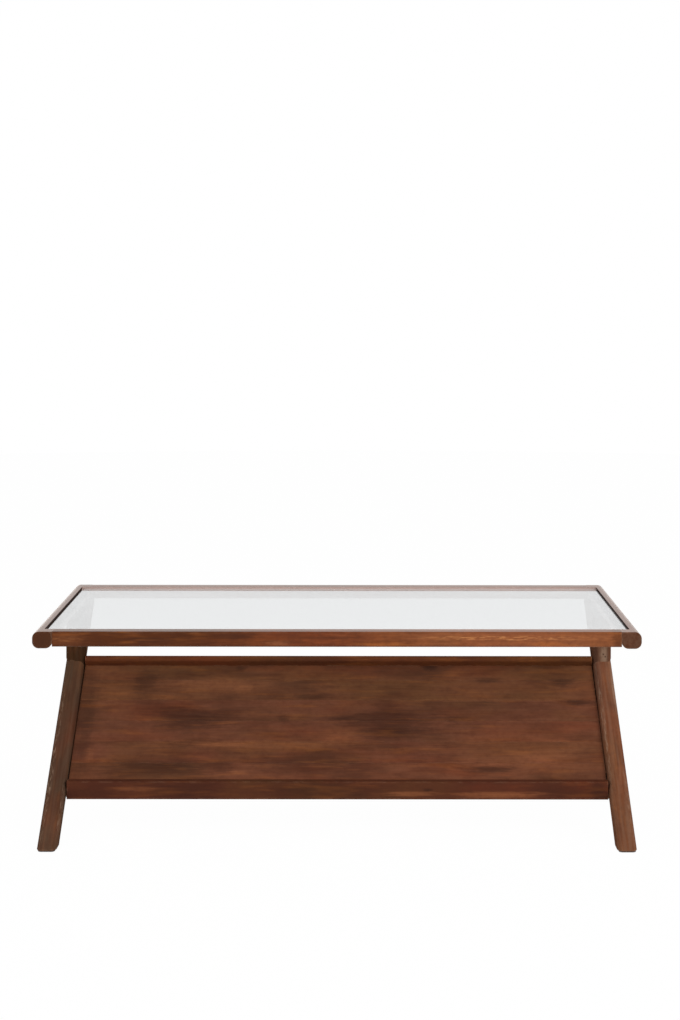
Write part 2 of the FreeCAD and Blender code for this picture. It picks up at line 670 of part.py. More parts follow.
def build_batten_screws():
    """Builds the screws through the battens, with their heads let in."""
    body = new_body("batten_screws", on_tray=True)
    places = [place for _, sign in SIDES for place in batten_screw_places(sign)]
    parts = {
        "Sizes.screw_head_radius": "Sizes.screw_head_height",
        "Sizes.screw_radius": "Sizes.batten_thickness + Sizes.screw_reach",
    }
    for radius, length in parts.items():
        sketch = add_sketch(body, "XY_Plane", BATTEN_UNDERSIDE)
        for place in places:
            draw_circle(sketch, *place, radius)
        add_pad(body, sketch, length)


def build_tray_bolts():
    """Builds the bolts through the front legs, their spacers and the barrel nuts in the planks."""
    head_face = f"({LEG_OUTER} - Sizes.bolt_head_height)"
    tip = f"({TRAY_HALF} - Sizes.bolt_reach)"
    bolts = new_body("tray_bolts", on_tray=True)
    spacers = new_body("tray_spacers", on_tray=True)

    def circles(radii):
        def draw(sketch):
            for place in bolt_places_on_tray():
                for radius in radii:
                    draw_circle(sketch, *place, radius)
        return draw

    bore = "Sizes.bolt_radius + Sizes.dowel_fit"
    for _, sign in SIDES:
        pad_across(bolts, sign, tip, head_face, circles(["Sizes.bolt_radius"]))
        pad_across(bolts, sign, head_face, LEG_OUTER, circles(["Sizes.bolt_head_radius"]))
        pad_across(spacers, sign, TRAY_HALF, LEG_INNER, circles(["Sizes.spacer_radius", bore]))
    nuts = new_body("barrel_nuts", on_tray=True)
    sketch = add_sketch(nuts, "XY_Plane", "-Sizes.plank_thickness")
    for place in nut_places(bolted_planks()):
        draw_circle(sketch, *place, "Sizes.nut_radius")
    add_pad(nuts, sketch, "Sizes.plank_thickness - Sizes.nut_cover")
    drill_along_x(nuts, (1,), TRAY_HALF, bolt_places_on_tray(), bore, f"2 * {TRAY_HALF}", outward=False)


def build_table():
    """Builds every piece of the table."""
    for name, sign in SIDES:
        build_end_rail(name, sign)
    build_cross_rail("front_rail", -1)
    build_cross_rail("back_rail", 1)
    build_rail_dowels()
    build_glass()
    for name, sign in SIDES:
        build_front_leg(name, sign)
        build_rear_leg(name, sign)
        build_felt_pads(name, sign)
    build_leg_fixings()
    for number in range(1, PLANK_COUNT + 1):
        build_plank(number)
    build_tray_rail()
    build_tray_lip()
    build_tray_dowels()
    for name, sign in SIDES:
        build_batten(name, sign)
    build_batten_screws()
    build_tray_bolts()


def check_table():
    """Stops if any object failed or any piece has no sound shape."""
    for item in doc.Objects:
        if "Invalid" in item.State or "Error" in item.State:
            raise RuntimeError(f"{item.Label} failed: {item.State}")
    for body in finished:
        if body.Shape.isNull() or not body.Shape.isValid():
            raise RuntimeError(f"{body.Label} has no sound shape")


def export_table():
    """Writes one file for each piece."""
    os.makedirs("parts", exist_ok=True)
    for body in finished:
        solids = len(body.Shape.Solids)
        print(f"{body.Label}: {solids} solid{'s' if solids > 1 else ''}")
        body.Shape.exportStep(f"parts/{body.Label}.step")


make_sheet()
build_table()
doc.recompute()
check_table()
export_table()
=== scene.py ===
"""Looks of the low display table: stained wood, loose glass, felt and steel, and the studio it stands in."""
from __future__ import annotations

import json
import logging
import math
from dataclasses import dataclass, field, replace
from enum import Enum
from typing import Any

import bmesh
import bpy
from mathutils import Matrix, Vector, noise

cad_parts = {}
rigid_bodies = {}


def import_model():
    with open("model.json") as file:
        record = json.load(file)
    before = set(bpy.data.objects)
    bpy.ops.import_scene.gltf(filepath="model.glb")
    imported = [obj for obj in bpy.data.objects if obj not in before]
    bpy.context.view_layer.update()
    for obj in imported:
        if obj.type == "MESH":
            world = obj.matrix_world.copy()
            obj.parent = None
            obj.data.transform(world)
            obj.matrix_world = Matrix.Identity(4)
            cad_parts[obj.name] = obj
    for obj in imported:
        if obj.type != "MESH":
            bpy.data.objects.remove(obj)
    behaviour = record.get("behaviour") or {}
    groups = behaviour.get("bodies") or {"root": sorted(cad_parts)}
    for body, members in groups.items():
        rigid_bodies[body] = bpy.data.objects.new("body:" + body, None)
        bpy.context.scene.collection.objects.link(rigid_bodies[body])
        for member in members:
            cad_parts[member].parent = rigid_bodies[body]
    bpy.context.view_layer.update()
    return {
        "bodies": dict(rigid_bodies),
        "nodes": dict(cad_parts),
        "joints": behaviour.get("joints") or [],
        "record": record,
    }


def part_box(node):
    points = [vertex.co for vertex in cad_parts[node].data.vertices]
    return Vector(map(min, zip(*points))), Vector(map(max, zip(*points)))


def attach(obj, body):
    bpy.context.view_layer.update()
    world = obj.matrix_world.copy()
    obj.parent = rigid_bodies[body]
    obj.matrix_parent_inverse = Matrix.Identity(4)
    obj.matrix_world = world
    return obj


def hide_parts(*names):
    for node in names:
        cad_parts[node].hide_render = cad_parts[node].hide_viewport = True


LOG = logging.getLogger("display_table")
Pair = tuple[float, float]
Piece = bpy.types.Object
Socket = bpy.types.NodeSocket
Tree = bpy.types.NodeTree

MM = 0.001
IMAGE_SIZE = (680, 1020)

# The diagonal legs and the tray between them rise 407 mm over a run of 544 mm, from the feet up to the back.
SLOPE = math.atan2(407, 544)
# Half the width of a cross recess's arms, as a share of its reach.
CROSS_ARM_SHARE = 0.3
# A new mesh stays sharp where it turns by more than this.
SHARP_ANGLE = math.radians(32)
# Corners of a CAD mesh that lie nearer than this are one.
SAME_CORNER = 0.01 * MM

# Settings that many nodes share.
ADD = {"operation": "ADD"}
TIMES = {"operation": "MULTIPLY"}
TIMES_ADD = {"operation": "MULTIPLY_ADD"}
DOT = {"operation": "DOT_PRODUCT"}
DISTANCE = {"operation": "DISTANCE"}
SIZE = {"operation": "ABSOLUTE"}
LARGER = {"operation": "MAXIMUM"}
SMOOTH = {"interpolation_type": "SMOOTHSTEP"}
COLOURS = {"data_type": "RGBA"}


class Side(Enum):
    """The two ends of the table, with the sign of X there."""

    LEFT = -1
    RIGHT = 1

    @property
    def word(self) -> str:
        """The side as it stands in the pieces' names."""
        return self.name.lower()


class Grain(Enum):
    """Which way a piece's grain runs: its directions along, across and through the board."""

    ALONG_TABLE = ((1, 0, 0), (0, 0, 1), (0, -1, 0))
    ACROSS_TABLE = ((0, 1, 0), (-1, 0, 0), (0, 0, 1))
    UPRIGHT = ((0, 0, 1), (1, 0, 0), (0, 1, 0))
    ALONG_TRAY = ((1, 0, 0), (0, math.cos(SLOPE), math.sin(SLOPE)), (0, -math.sin(SLOPE), math.cos(SLOPE)))
    UP_SLOPE = ((0, math.cos(SLOPE), math.sin(SLOPE)), (-1, 0, 0), (0, -math.sin(SLOPE), math.cos(SLOPE)))

    @property
    def turn(self) -> tuple[float, float, float]:
        """The rotation that brings the table's directions to the board's."""
        return tuple(Matrix(self.value).to_euler("XYZ"))


class Tone(Enum):
    """What a single mark in a board is, as the colour for it: stain, wax, a painted glint or highlight, or a
    hole.
    """

    CLOUD = "cloud"
    DEEP = "deep"
    PALE = "pale"
    # Pale wax colour: edges that are partly wear and partly painted highlight, and painted highlights on
    # faces.
    WEAR_AND_PAINTED_HIGHLIGHT = "wax"
    # A painted glint.
    GLINT = "glint"
    # A nail hole, in the colour that also paints the rebate's shade.
    HOLE = "shade"


class Outline(Enum):
    """The outline of a turned piece's ring."""

    ROUND = "round"
    HEXAGON = "hexagon"
    CROSS = "cross"


def linear(hex_colour: str) -> tuple[float, float, float, float]:
    """Turns an sRGB hex colour to linear.

    Args:
        hex_colour: The colour as "#rrggbb".

    Returns:
        Red, green, blue and an alpha of 1.
    """
    shares = [int(hex_colour[place:place + 2], 16) / 255 for place in (1, 3, 5)]
    red, green, blue = [c / 12.92 if c <= 0.04045 else ((c + 0.055) / 1.055) ** 2.4 for c in shares]
    return red, green, blue, 1.0


def add_node(tree: Tree, kind: str, settings: dict[str, Any] | None = None,
             inputs: dict[str | int, Any] | None = None) -> bpy.types.NodeOutputs:
    """Adds a node, sets its properties, and sets or links its inputs.

    Args:
        tree: The node tree that takes the node.
        kind: Blender's name for the node, without the word ShaderNode before it.
        settings: Properties of the node by name.
        inputs: A value or an output socket for each input, by name or number.

    Returns:
        The new node's outputs.
    """
    node = tree.nodes.new(f"ShaderNode{kind}")
    for name, value in (settings or {}).items():
        setattr(node, name, value)
    for name, value in (inputs or {}).items():
        if isinstance(value, Socket):
            tree.links.new(value, node.inputs[name])
        else:
            node.inputs[name].default_value = value
    return node.outputs


def new_material(piece: Piece, name: str) -> Tree:
    """Gives a piece one new, empty material and reports it.

    Args:
        piece: The piece.
        name: The material's name.

    Returns:
        The material's node tree.
    """
    material = bpy.data.materials.new(name)
    material.use_nodes = True
    material.node_tree.nodes.clear()
    piece.data.materials.clear()
    piece.data.materials.append(material)
    LOG.info("%s: %s", piece.name, name)
    return material.node_tree


@dataclass(frozen=True)
class Ring:
    """One ring of a turned piece.

    Attributes:
        height: Place along the axis, in mm.
        radius: Reach from the axis, in mm: of a hexagon to its flats, and of a cross to its arms' ends.
        outline: The ring's outline.
    """

    height: float
    radius: float
    outline: Outline = Outline.ROUND

    def reach(self, angle: float) -> float:
        """Gives how far the outline lies from the axis.

        Args:
            angle: Direction about the axis, in radians.

        Returns:
            The distance in mm.
        """
        if self.outline is Outline.ROUND:
            return self.radius
        part = math.pi / (3 if self.outline is Outline.HEXAGON else 2)
        turn = abs((angle + part / 2) % part - part / 2)
        if self.outline is Outline.HEXAGON:
            return self.radius / math.cos(turn)
        arm = self.radius * CROSS_ARM_SHARE
        if self.radius * math.sin(turn) <= arm * math.cos(turn):
            return self.radius / math.cos(turn)
        return arm / math.sin(turn)

    def points(self, frame: Matrix, count: int = 48) -> list[Vector]:
        """Gives the ring's points.

        Args:
            frame: The piece's frame, with its axis along the third direction.
            count: How many points.

        Returns:
            The points in the table's frame, in metres.
        """
        turns = [2 * math.pi * index / count for index in range(count)]
        return [frame @ (MM * Vector((self.reach(turn) * math.cos(turn), self.reach(turn) * math.sin(turn),
                                      self.height))) for turn in turns]


@dataclass(frozen=True)
class Fastener:
    """A bolt or screw, cold-formed, with a rolled thread that is drawn as rings.

    Attributes:
        radius: The shank's radius, in mm.
        plain: Length without thread under the head, in mm.
        head_height: The head's height, in mm.
        head: The head's rings, from its underside into its recess, with heights from its outer face.
        pitch: The thread's pitch, in mm.
        depth: The thread's depth, in mm.
        tip_share: The tip's radius as a share of the shank's.
    """

    radius: float
    plain: float
    head_height: float
    head: tuple[Ring, ...]
    pitch: float = 1
    depth: float = 0.28
    tip_share: float = 0.4

    def rings(self, length: float) -> list[Ring]:
        """Gives the rings of a fastener of some length.

        Args:
            length: Whole length, in mm.

        Returns:
            The rings, from the tip.
        """
        core = self.radius - self.depth
        thread_end = length - self.head_height - self.plain
        rings = [Ring(0, self.radius * self.tip_share), Ring(self.pitch, core)]
        height = 2 * self.pitch
        while height < thread_end:
            rings += [Ring(height, self.radius), Ring(height + self.pitch / 2, core)]
            height += self.pitch
        rings.append(Ring(thread_end + self.pitch, self.radius))
        return rings + [replace(ring, height=length + ring.height) for ring in self.head]


def loft(shape: bmesh.types.BMesh, loops: list[list[Vector]]) -> None:
    """Skins closed loops one after another and closes both ends.

    Args:
        shape: The mesh that takes the faces.
        loops: The loops, each with as many points as the others.
    """
    rows = [[shape.verts.new(point) for point in loop] for loop in loops]
    for low, high in zip(rows, rows[1:]):
        for index in range(len(low)):
            shape.faces.new((low[index - 1], low[index], high[index], high[index - 1]))
    shape.faces.new(reversed(rows[0]))
    shape.faces.new(rows[-1])


def solid_frames(node: Piece, out: Vector) -> list[tuple[Matrix, float]]:
    """Finds the separate solids of a node that all lie along one direction.

    Args:
        node: The node's object.
        out: The direction, from a solid's hidden end to the one that shows.

    Returns:
        For each solid a frame, at the middle of its hidden end and with the direction as third axis, and the
        solid's length.
    """
    side = out.orthogonal().normalized()
    turn = Matrix((side, out.cross(side), out))
    shape = bmesh.new()
    shape.from_mesh(node.data)
    bmesh.ops.remove_doubles(shape, verts=shape.verts, dist=SAME_CORNER)
    waiting = set(shape.verts)
    found = []
    while waiting:
        solid = [waiting.pop()]
        for corner in solid:
            near = {edge.other_vert(corner) for edge in corner.link_edges} & waiting
            waiting -= near
            solid.extend(near)
        places = [turn @ corner.co for corner in solid]
        low, high = [Vector([end(place[axis] for place in places) for axis in range(3)])
                     for end in (min, max)]
        start = turn.transposed() @ Vector(((low.x + high.x) / 2, (low.y + high.y) / 2, low.z))
        found.append((Matrix.Translation(start) @ turn.transposed().to_4x4(), high.z - low.z))
    shape.free()
    return sorted(found, key=lambda each: tuple(each[0].translation))


def set_piece(name: str, shape: bmesh.types.BMesh, node: str) -> Piece:
    """Puts a finished mesh in the table in place of a node.

    Args:
        name: The piece's name.
        shape: Its mesh, which is freed.
        node: The node that it stands for.

    Returns:
        The piece.
    """
    mesh = bpy.data.meshes.new(name)
    bmesh.ops.recalc_face_normals(shape, faces=shape.faces)
    shape.to_mesh(mesh)
    shape.free()
    mesh.shade_smooth()
    mesh.set_sharp_from_angle(angle=SHARP_ANGLE)
    piece = bpy.data.objects.new(name, mesh)
    bpy.context.scene.collection.objects.link(piece)
    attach(piece, "table")
    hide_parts(node)
    return piece


@dataclass(frozen=True)
class Figure:
    """One layer of a finish's figure, drawn as noise that is stretched along the grain.

    Attributes:
        length_mm: Size of the marks along the grain.
        width_mm: Size of the marks across it.
        detail: How many finer layers lie in it.
        low: Noise value where the mark begins.
        high: Noise value where it is full.
        share: Share of its colour in a full mark, where the board doesn't say.
    """

    length_mm: float
    width_mm: float
    detail: float
    low: float
    high: float
    share: float = 1

    def mask(self, tree: Tree, place: Socket, values: Pair = (0, 1)) -> Socket:
        """Draws the layer.

        Args:
            tree: The material's node tree.
            place: Coordinates along, across and through the board.
            values: What it gives away from its marks and in a full one.

        Returns:
            The layer.
        """
        across = 1 / (self.width_mm * MM)
        stretched = add_node(tree, "Mapping", inputs={
            "Vector": place, "Scale": (1 / (self.length_mm * MM), across, across)})[0]
        cloud = add_node(tree, "TexNoise", inputs={
            "Vector": stretched, "Scale": 1, "Detail": self.detail, "Roughness": 0.55})[0]
        return add_node(tree, "MapRange", SMOOTH, {
            "Value": cloud, "From Min": self.low, "From Max": self.high, "To Min": values[0],
            "To Max": values[1]})[0]


@dataclass(frozen=True)
class Mark:
    """A single cloud, flame or other mark in a board, or a spot of painted light or shade.

    Attributes:
        along: Middle along the grain, in mm.
        across: Middle across the grain, in mm.
        half_length: Reach along the grain, in mm.
        half_width: Reach across the grain, in mm.
        strength: How strongly it shows.
        tone: What it is.
    """

    along: float
    across: float
    half_length: float
    half_width: float
    strength: float
    tone: Tone = Tone.CLOUD


@dataclass(frozen=True)
class Board:
    """How one piece was cut and stained.

    Attributes:
        grain: Which way its grain runs.
        heart: Where the tree's heart lay, across and through the board, in mm.
        shift: How far along the tree it was cut, in mm.
        warmth: Share of the warm, paler stain.
        clouds: Share of dark clouds.
        deep: Share of the deep stain all over.
        base: The board's own colour under all of them.
        marks: Single marks, in the board's own coordinates.
        rebated: Whether it carries the rebate for the glass.
        coat: Weight of the oil film that turns pale at a flat angle.
        dust: Share of the fine dust that shows at a flat angle.
        wax: Share of the pale haze that dried wax leaves.
        wear: Share of the rubbed edges, which are painted lighter: partly wear, partly painted highlight.
        flecks: Where the grain curls and its wave tops are painted lighter, in the board's own coordinates:
            painted glints, and pale edge flecks that are partly wear and partly painted highlight.
        knots: Where the grain bends round a knot: the strength is the push in mm.
    """

    grain: Grain
    heart: Pair
    shift: float
    warmth: float = 0.3
    clouds: float = 0.6
    deep: float = 0
    base: str = "#633621"
    marks: tuple[Mark, ...] = ()
    rebated: bool = False
    coat: float = 0.25
    dust: float = 0
    wax: float = 0
    wear: float = 0.4
    flecks: tuple[Mark, ...] = ()
    knots: tuple[Mark, ...] = ()


@dataclass(frozen=True)
class StainedMango:
    """Mango wood, planed and sanded, with a brown stain and a thin satin oil.

    The stain sinks in unevenly, so the eye sees soft dark clouds and warm streaks over quiet grain lines. The
    oil leaves a low sheen that turns pale at a flat angle, and end grain drinks more stain and is darker.
    Glints on curly grain, part of the pale edges, and light and shade in the rebate are painted into the
    colour.
    """

    ring: str = "#4a281c"
    warm: str = "#8c4b27"
    flame: str = "#a8622f"
    cloud: str = "#301d17"
    deep: str = "#42210f"
    pore: str = "#27140d"
    end_grain: str = "#3f2416"
    # Rubbed edges: partly wear, partly a painted highlight.
    worn_and_painted_highlight: str = "#a07e66"
    red: str = "#70341f"
    olive: str = "#5c3d22"
    pale: str = "#9c5f3c"
    # Pale wax haze. The same colour paints the legs' pale edges, partly wear and partly painted highlight,
    # and a painted highlight on a leg's face.
    wax: str = "#a58a74"
    # Painted shade in the rebate, and the dark of nail holes.
    shade: str = "#26120b"
    # Painted light on the rebate's long walls.
    bare: str = "#c2aaa2"
    # Painted glints on curly grain.
    glint: str = "#c98a55"
    dust: str = "#fff1ea"
    # Year rings are 5 to 8 mm apart in fast-grown mango. The band is the noise where one begins and is full.
    ring_mm: float = 6.5
    ring_band: Pair = (0.4, 0.66)
    ring_share: float = 0.14
    # The tree's heart wanders by up to this much, over lengths along and across it like these.
    waver_mm: float = 45
    waver_size_mm: Pair = (454.5, 111.1)
    # A board from further along the tree is also from this much further across it.
    side_shift: float = 0.37
    # Fibres are 1 to 2 mm long and far too thin to show, so bundles of them are drawn.
    fibres: Figure = Figure(42, 3.4, 3, 0.25, 0.75, 0.05)
    # Pores are 0.2 mm wide: drawn at 1.4 mm so that they show.
    pores: Figure = Figure(12, 1.4, 1, 0.62, 0.74, 0.07)
    streaks: Figure = Figure(110, 14, 2, 0.5, 0.75)
    # Share of the streaks in any board, and what a fully warm one adds.
    streak_shares: Pair = (0.1, 0.4)
    mottling: Figure = Figure(12, 10, 4, 0.4, 0.75, 0.27)
    patches: Figure = Figure(75, 34, 4, 0.42, 0.72, 0.45)
    clouding: Figure = Figure(190, 75, 3, 0.44, 0.7)
    # Curly grain waves every 10 to 20 mm, and flecks paint the top of each wave lighter as a painted glint.
    curls: Figure = Figure(20, 1.8, 2, 0.5, 0.64)
    reddening: Figure = Figure(260, 120, 3, 0.45, 0.68, 0.45)
    greening: Figure = Figure(330, 150, 3, 0.45, 0.65, 0.45)
    # A face counts as end grain from the first to the second cosine of its angle to the grain.
    end_facing: Pair = (0.6, 0.95)
    end_share: float = 0.7
    # Hands and sanding wear the edges in stretches of 10 to 30 mm, and the paler edges also stand in for a
    # painted highlight. An edge wears from the first to the second cosine of its turn.
    rubbing: Figure = Figure(16, 8, 4, 0.4, 0.7)
    wear_reach_mm: float = 5
    wear_turn: Pair = (0.99, 0.84)
    waxing: Figure = Figure(110, 6, 4, 0.2, 0.75)
    # In the rebate, which was never oiled, the long walls are painted pale as painted light, and the short
    # walls and floor are painted dark as painted shade. Its reach, heights and soft border are in mm.
    rebate_reach: Pair = (581, 270)
    painted_shade_reach: Pair = (581, 264)
    rebate_heights: tuple[float, float, float, float] = (427, 428, 439.2, 440.2)
    rebate_border: float = 1
    bare_share: float = 0.92
    shade_share: float = 0.95
    ior: float = 1.46
    specular: float = 0.02
    roughness: Pair = (0.4, 0.54)
    coat_ior: float = 1.19
    coat_roughness: float = 0.18
    dust_roughness: float = 0.3
    # How far stain runs along the fibres, as a share of a mark's length.
    run: float = 0.42
    # A mark fades in from the first to the second of these, as shares of its reach.
    mark_edge: Pair = (1.25, 0.2)
    # How ragged the outlines of marks and knots are, as shares of their reach.
    mark_rough: float = 1.2
    knot_rough: float = 0.2
    bump_mm: float = 0.06

    def dress(self, piece: Piece, board: Board) -> None:
        """Gives a piece of wood its own board of this finish.

        Args:
            piece: The piece's object.
            board: How it was cut and stained.
        """
        tree = new_material(piece, f"stained_mango_{piece.name}")
        here = add_node(tree, "TexCoord")
        place = add_node(tree, "Mapping", inputs={"Vector": here["Object"], "Rotation": board.grain.turn})[0]
        cut = self._cut(tree, place, board)
        fibres = self.fibres.mask(tree, cut)
        pores = self.pores.mask(tree, cut)
        curls = self.curls.mask(tree, cut)
        streak_share = self.streak_shares[0] + self.streak_shares[1] * board.warmth
        layers = [
            (board.warmth, self.warm, None),
            (board.deep, self.deep, None),
            (self.reddening.share, self.red, self.reddening.mask(tree, cut)),
            (self.greening.share, self.olive, self.greening.mask(tree, cut)),
            (board.clouds, self.cloud, self.clouding.mask(tree, cut)),
            (self.patches.share, self.ring, self.patches.mask(tree, cut)),
        ]
        for mark in board.marks:
            spot = self._mark(tree, place, mark, self.mark_rough, fibres)
            layers.append((mark.strength, getattr(self, mark.tone.value), spot))
        layers += [
            (self.ring_share, self.ring, self._rings(tree, cut, board)),
            (streak_share, self.flame, self.streaks.mask(tree, cut)),
            (self.mottling.share, self.ring, self.mottling.mask(tree, cut)),
            (self.fibres.share, self.pore, fibres),
            (self.pores.share, self.pore, pores),
            (self.end_share, self.end_grain, self._end_grain(tree, here["Normal"], board)),
            # Rubbed edges, painted lighter: partly wear, partly painted highlight.
            (board.wear, self.worn_and_painted_highlight, self._edge_wear(tree, cut)),
            (board.wax, self.wax, self.waxing.mask(tree, cut)),
        ]
        # Painted glints, and pale edge flecks that are partly wear and partly painted highlight, on the
        # grain's wave tops.
        for mark in board.flecks:
            spot = self._mark(tree, place, mark, self.mark_rough)
            curled = add_node(tree, "Math", TIMES, {0: curls, 1: spot})[0]
            layers.append((mark.strength, getattr(self, mark.tone.value), curled))
        coat: Any = board.coat
        dust: Any = board.dust
        if board.rebated:
            walls = self._rebate(tree, here["Object"], self.rebate_reach)
            painted_shade_mask = self._rebate(tree, here["Object"], self.painted_shade_reach)
            # Painted light on the rebate's long walls, then painted shade on its short walls and floor.
            layers += [(self.bare_share, self.bare, walls), (self.shade_share, self.shade, painted_shade_mask)]
            # No oil or dust lies in the rebate, so nothing shines there.
            coat, dust = [add_node(tree, "MapRange", inputs={"Value": walls, "To Min": share, "To Max": 0})[0]
                          for share in (board.coat, board.dust)]
        gloss = add_node(tree, "MapRange", inputs={
            "Value": fibres, "To Min": self.roughness[0], "To Max": self.roughness[1]})[0]
        relief = add_node(tree, "Math", TIMES_ADD, {0: pores, 1: -1, 2: fibres})[0]
        bump = add_node(tree, "Bump", inputs={
            "Height": relief, "Strength": 0.5, "Distance": self.bump_mm * MM})[0]
        shader = add_node(tree, "BsdfPrincipled", inputs={
            "Base Color": self._stain(tree, board.base, layers), "Roughness": gloss, "Normal": bump,
            "IOR": self.ior, "Specular IOR Level": self.specular * board.coat, "Coat Weight": coat,
            "Coat IOR": self.coat_ior, "Coat Roughness": self.coat_roughness,
            "Sheen Weight": dust, "Sheen Roughness": self.dust_roughness, "Sheen Tint": linear(self.dust)})[0]
        add_node(tree, "OutputMaterial", inputs={"Surface": shader})

    def _cut(self, tree: Tree, place: Socket, board: Board) -> Socket:
        """Finds where a board lay in the tree, with its grain pushed aside round knots.

        Args:
            tree: The material's node tree.
            place: Coordinates along, across and through the board, as it lies in the table.
            board: How the piece was cut.

        Returns:
            The same coordinates, as the wood grew.
        """
        grown = place
        for knot in board.knots:
            bend = self._mark(tree, place, knot, self.knot_rough)
            push = add_node(tree, "VectorMath", {"operation": "SCALE"}, {
                0: (0, knot.strength * MM, 0), "Scale": bend})[0]
            grown = add_node(tree, "VectorMath", ADD, {0: grown, 1: push})[0]
        shift = board.shift * MM
        return add_node(tree, "VectorMath", ADD, {0: grown, 1: (shift, self.side_shift * shift, 0)})[0]

    def _stain(self, tree: Tree, base: str, layers: list[tuple[float, str, Socket | None]]) -> Socket:
        """Lays colours over the board's own, one after another.

        Args:
            tree: The material's node tree.
            base: The board's own colour.
            layers: Share, colour and mask of each layer. A layer with no mask lies all over.

        Returns:
            The colour.
        """
        colour: Any = linear(base)
        for share, hex_colour, mask in layers:
            factor: Any = share
            if mask is not None:
                factor = add_node(tree, "Math", TIMES, {0: mask, 1: share})[0]
            colour = add_node(tree, "Mix", COLOURS, {0: factor, 6: colour, 7: linear(hex_colour)})[2]
        return colour

    def _rebate(self, tree: Tree, place: Socket, reach: Pair) -> Socket:
        """Finds the rebate's walls and floor.

        Args:
            tree: The material's node tree.
            place: Coordinates in the table's frame.
            reach: How far it goes from the table's middle along and across, in mm.

        Returns:
            1 in the rebate and 0 elsewhere.
        """
        size = add_node(tree, "VectorMath", SIZE, {0: place})[0]
        parts = add_node(tree, "SeparateXYZ", inputs={0: size})
        floor, start, full, top = self.rebate_heights
        tests = [(parts[axis], end + self.rebate_border, end) for axis, end in enumerate(reach)]
        tests += [(parts[2], floor, start), (parts[2], top, full)]
        inside: Any = 1
        for value, outside, within in tests:
            test = add_node(tree, "MapRange", inputs={
                "Value": value, "From Min": outside * MM, "From Max": within * MM})[0]
            inside = add_node(tree, "Math", TIMES, {0: test, 1: inside})[0]
        return inside

    def _rings(self, tree: Tree, cut: Socket, board: Board) -> Socket:
        """Draws the year rings as a solid around the tree's wavering heart.

        Args:
            tree: The material's node tree.
            cut: Coordinates along, across and through the board.
            board: How the piece was cut.

        Returns:
            How dark the ring is, 0 to 1.
        """
        length, width = [1 / (size * MM) for size in self.waver_size_mm]
        slow = add_node(tree, "Mapping", inputs={"Vector": cut, "Scale": (length, width, width)})[0]
        waver = add_node(tree, "TexNoise", inputs={
            "Vector": slow, "Scale": 1, "Detail": 2, "Roughness": 0.5})["Color"]
        aside = self.waver_mm * MM
        bent = add_node(tree, "VectorMath", TIMES_ADD, {0: waver, 1: (0, aside, aside), 2: cut})[0]
        flat = add_node(tree, "VectorMath", TIMES, {0: bent, 1: (0, 1, 1)})[0]
        heart = (0, board.heart[0] * MM, board.heart[1] * MM)
        radius = add_node(tree, "VectorMath", DISTANCE, {0: flat, 1: heart})["Value"]
        years = add_node(tree, "Math", TIMES, {0: radius, 1: 1 / (self.ring_mm * MM)})[0]
        band = add_node(tree, "TexNoise", {"noise_dimensions": "1D"}, {
            "W": years, "Scale": 1, "Detail": 2, "Roughness": 0.6})[0]
        return add_node(tree, "MapRange", SMOOTH, {
            "Value": band, "From Min": self.ring_band[0], "From Max": self.ring_band[1]})[0]

    def _end_grain(self, tree: Tree, normal: Socket, board: Board) -> Socket:
        """Finds the faces that cut across the grain.

        Args:
            tree: The material's node tree.
            normal: The surface's direction in the piece's own frame.
            board: How the piece was cut.

        Returns:
            1 on end grain and 0 along the board.
        """
        facing = add_node(tree, "VectorMath", DOT, {0: normal, 1: board.grain.value[0]})["Value"]
        size = add_node(tree, "Math", SIZE, {0: facing})[0]
        return add_node(tree, "MapRange", SMOOTH, {
            "Value": size, "From Min": self.end_facing[0], "From Max": self.end_facing[1]})[0]

    def _edge_wear(self, tree: Tree, cut: Socket) -> Socket:
        """Finds the stretches of edge that are painted lighter: stain rubbed thin, and a painted highlight.

        Args:
            tree: The material's node tree.
            cut: Coordinates along, across and through the board.

        Returns:
            1 on a rubbed edge and 0 away from it.
        """
        soft = add_node(tree, "Bevel", {"samples": 4}, {"Radius": self.wear_reach_mm * MM})[0]
        face = add_node(tree, "NewGeometry")["Normal"]
        turn = add_node(tree, "VectorMath", DOT, {0: soft, 1: face})["Value"]
        edge = add_node(tree, "MapRange", SMOOTH, {
            "Value": turn, "From Min": self.wear_turn[0], "From Max": self.wear_turn[1]})[0]
        return add_node(tree, "Math", TIMES, {0: edge, 1: self.rubbing.mask(tree, cut)})[0]

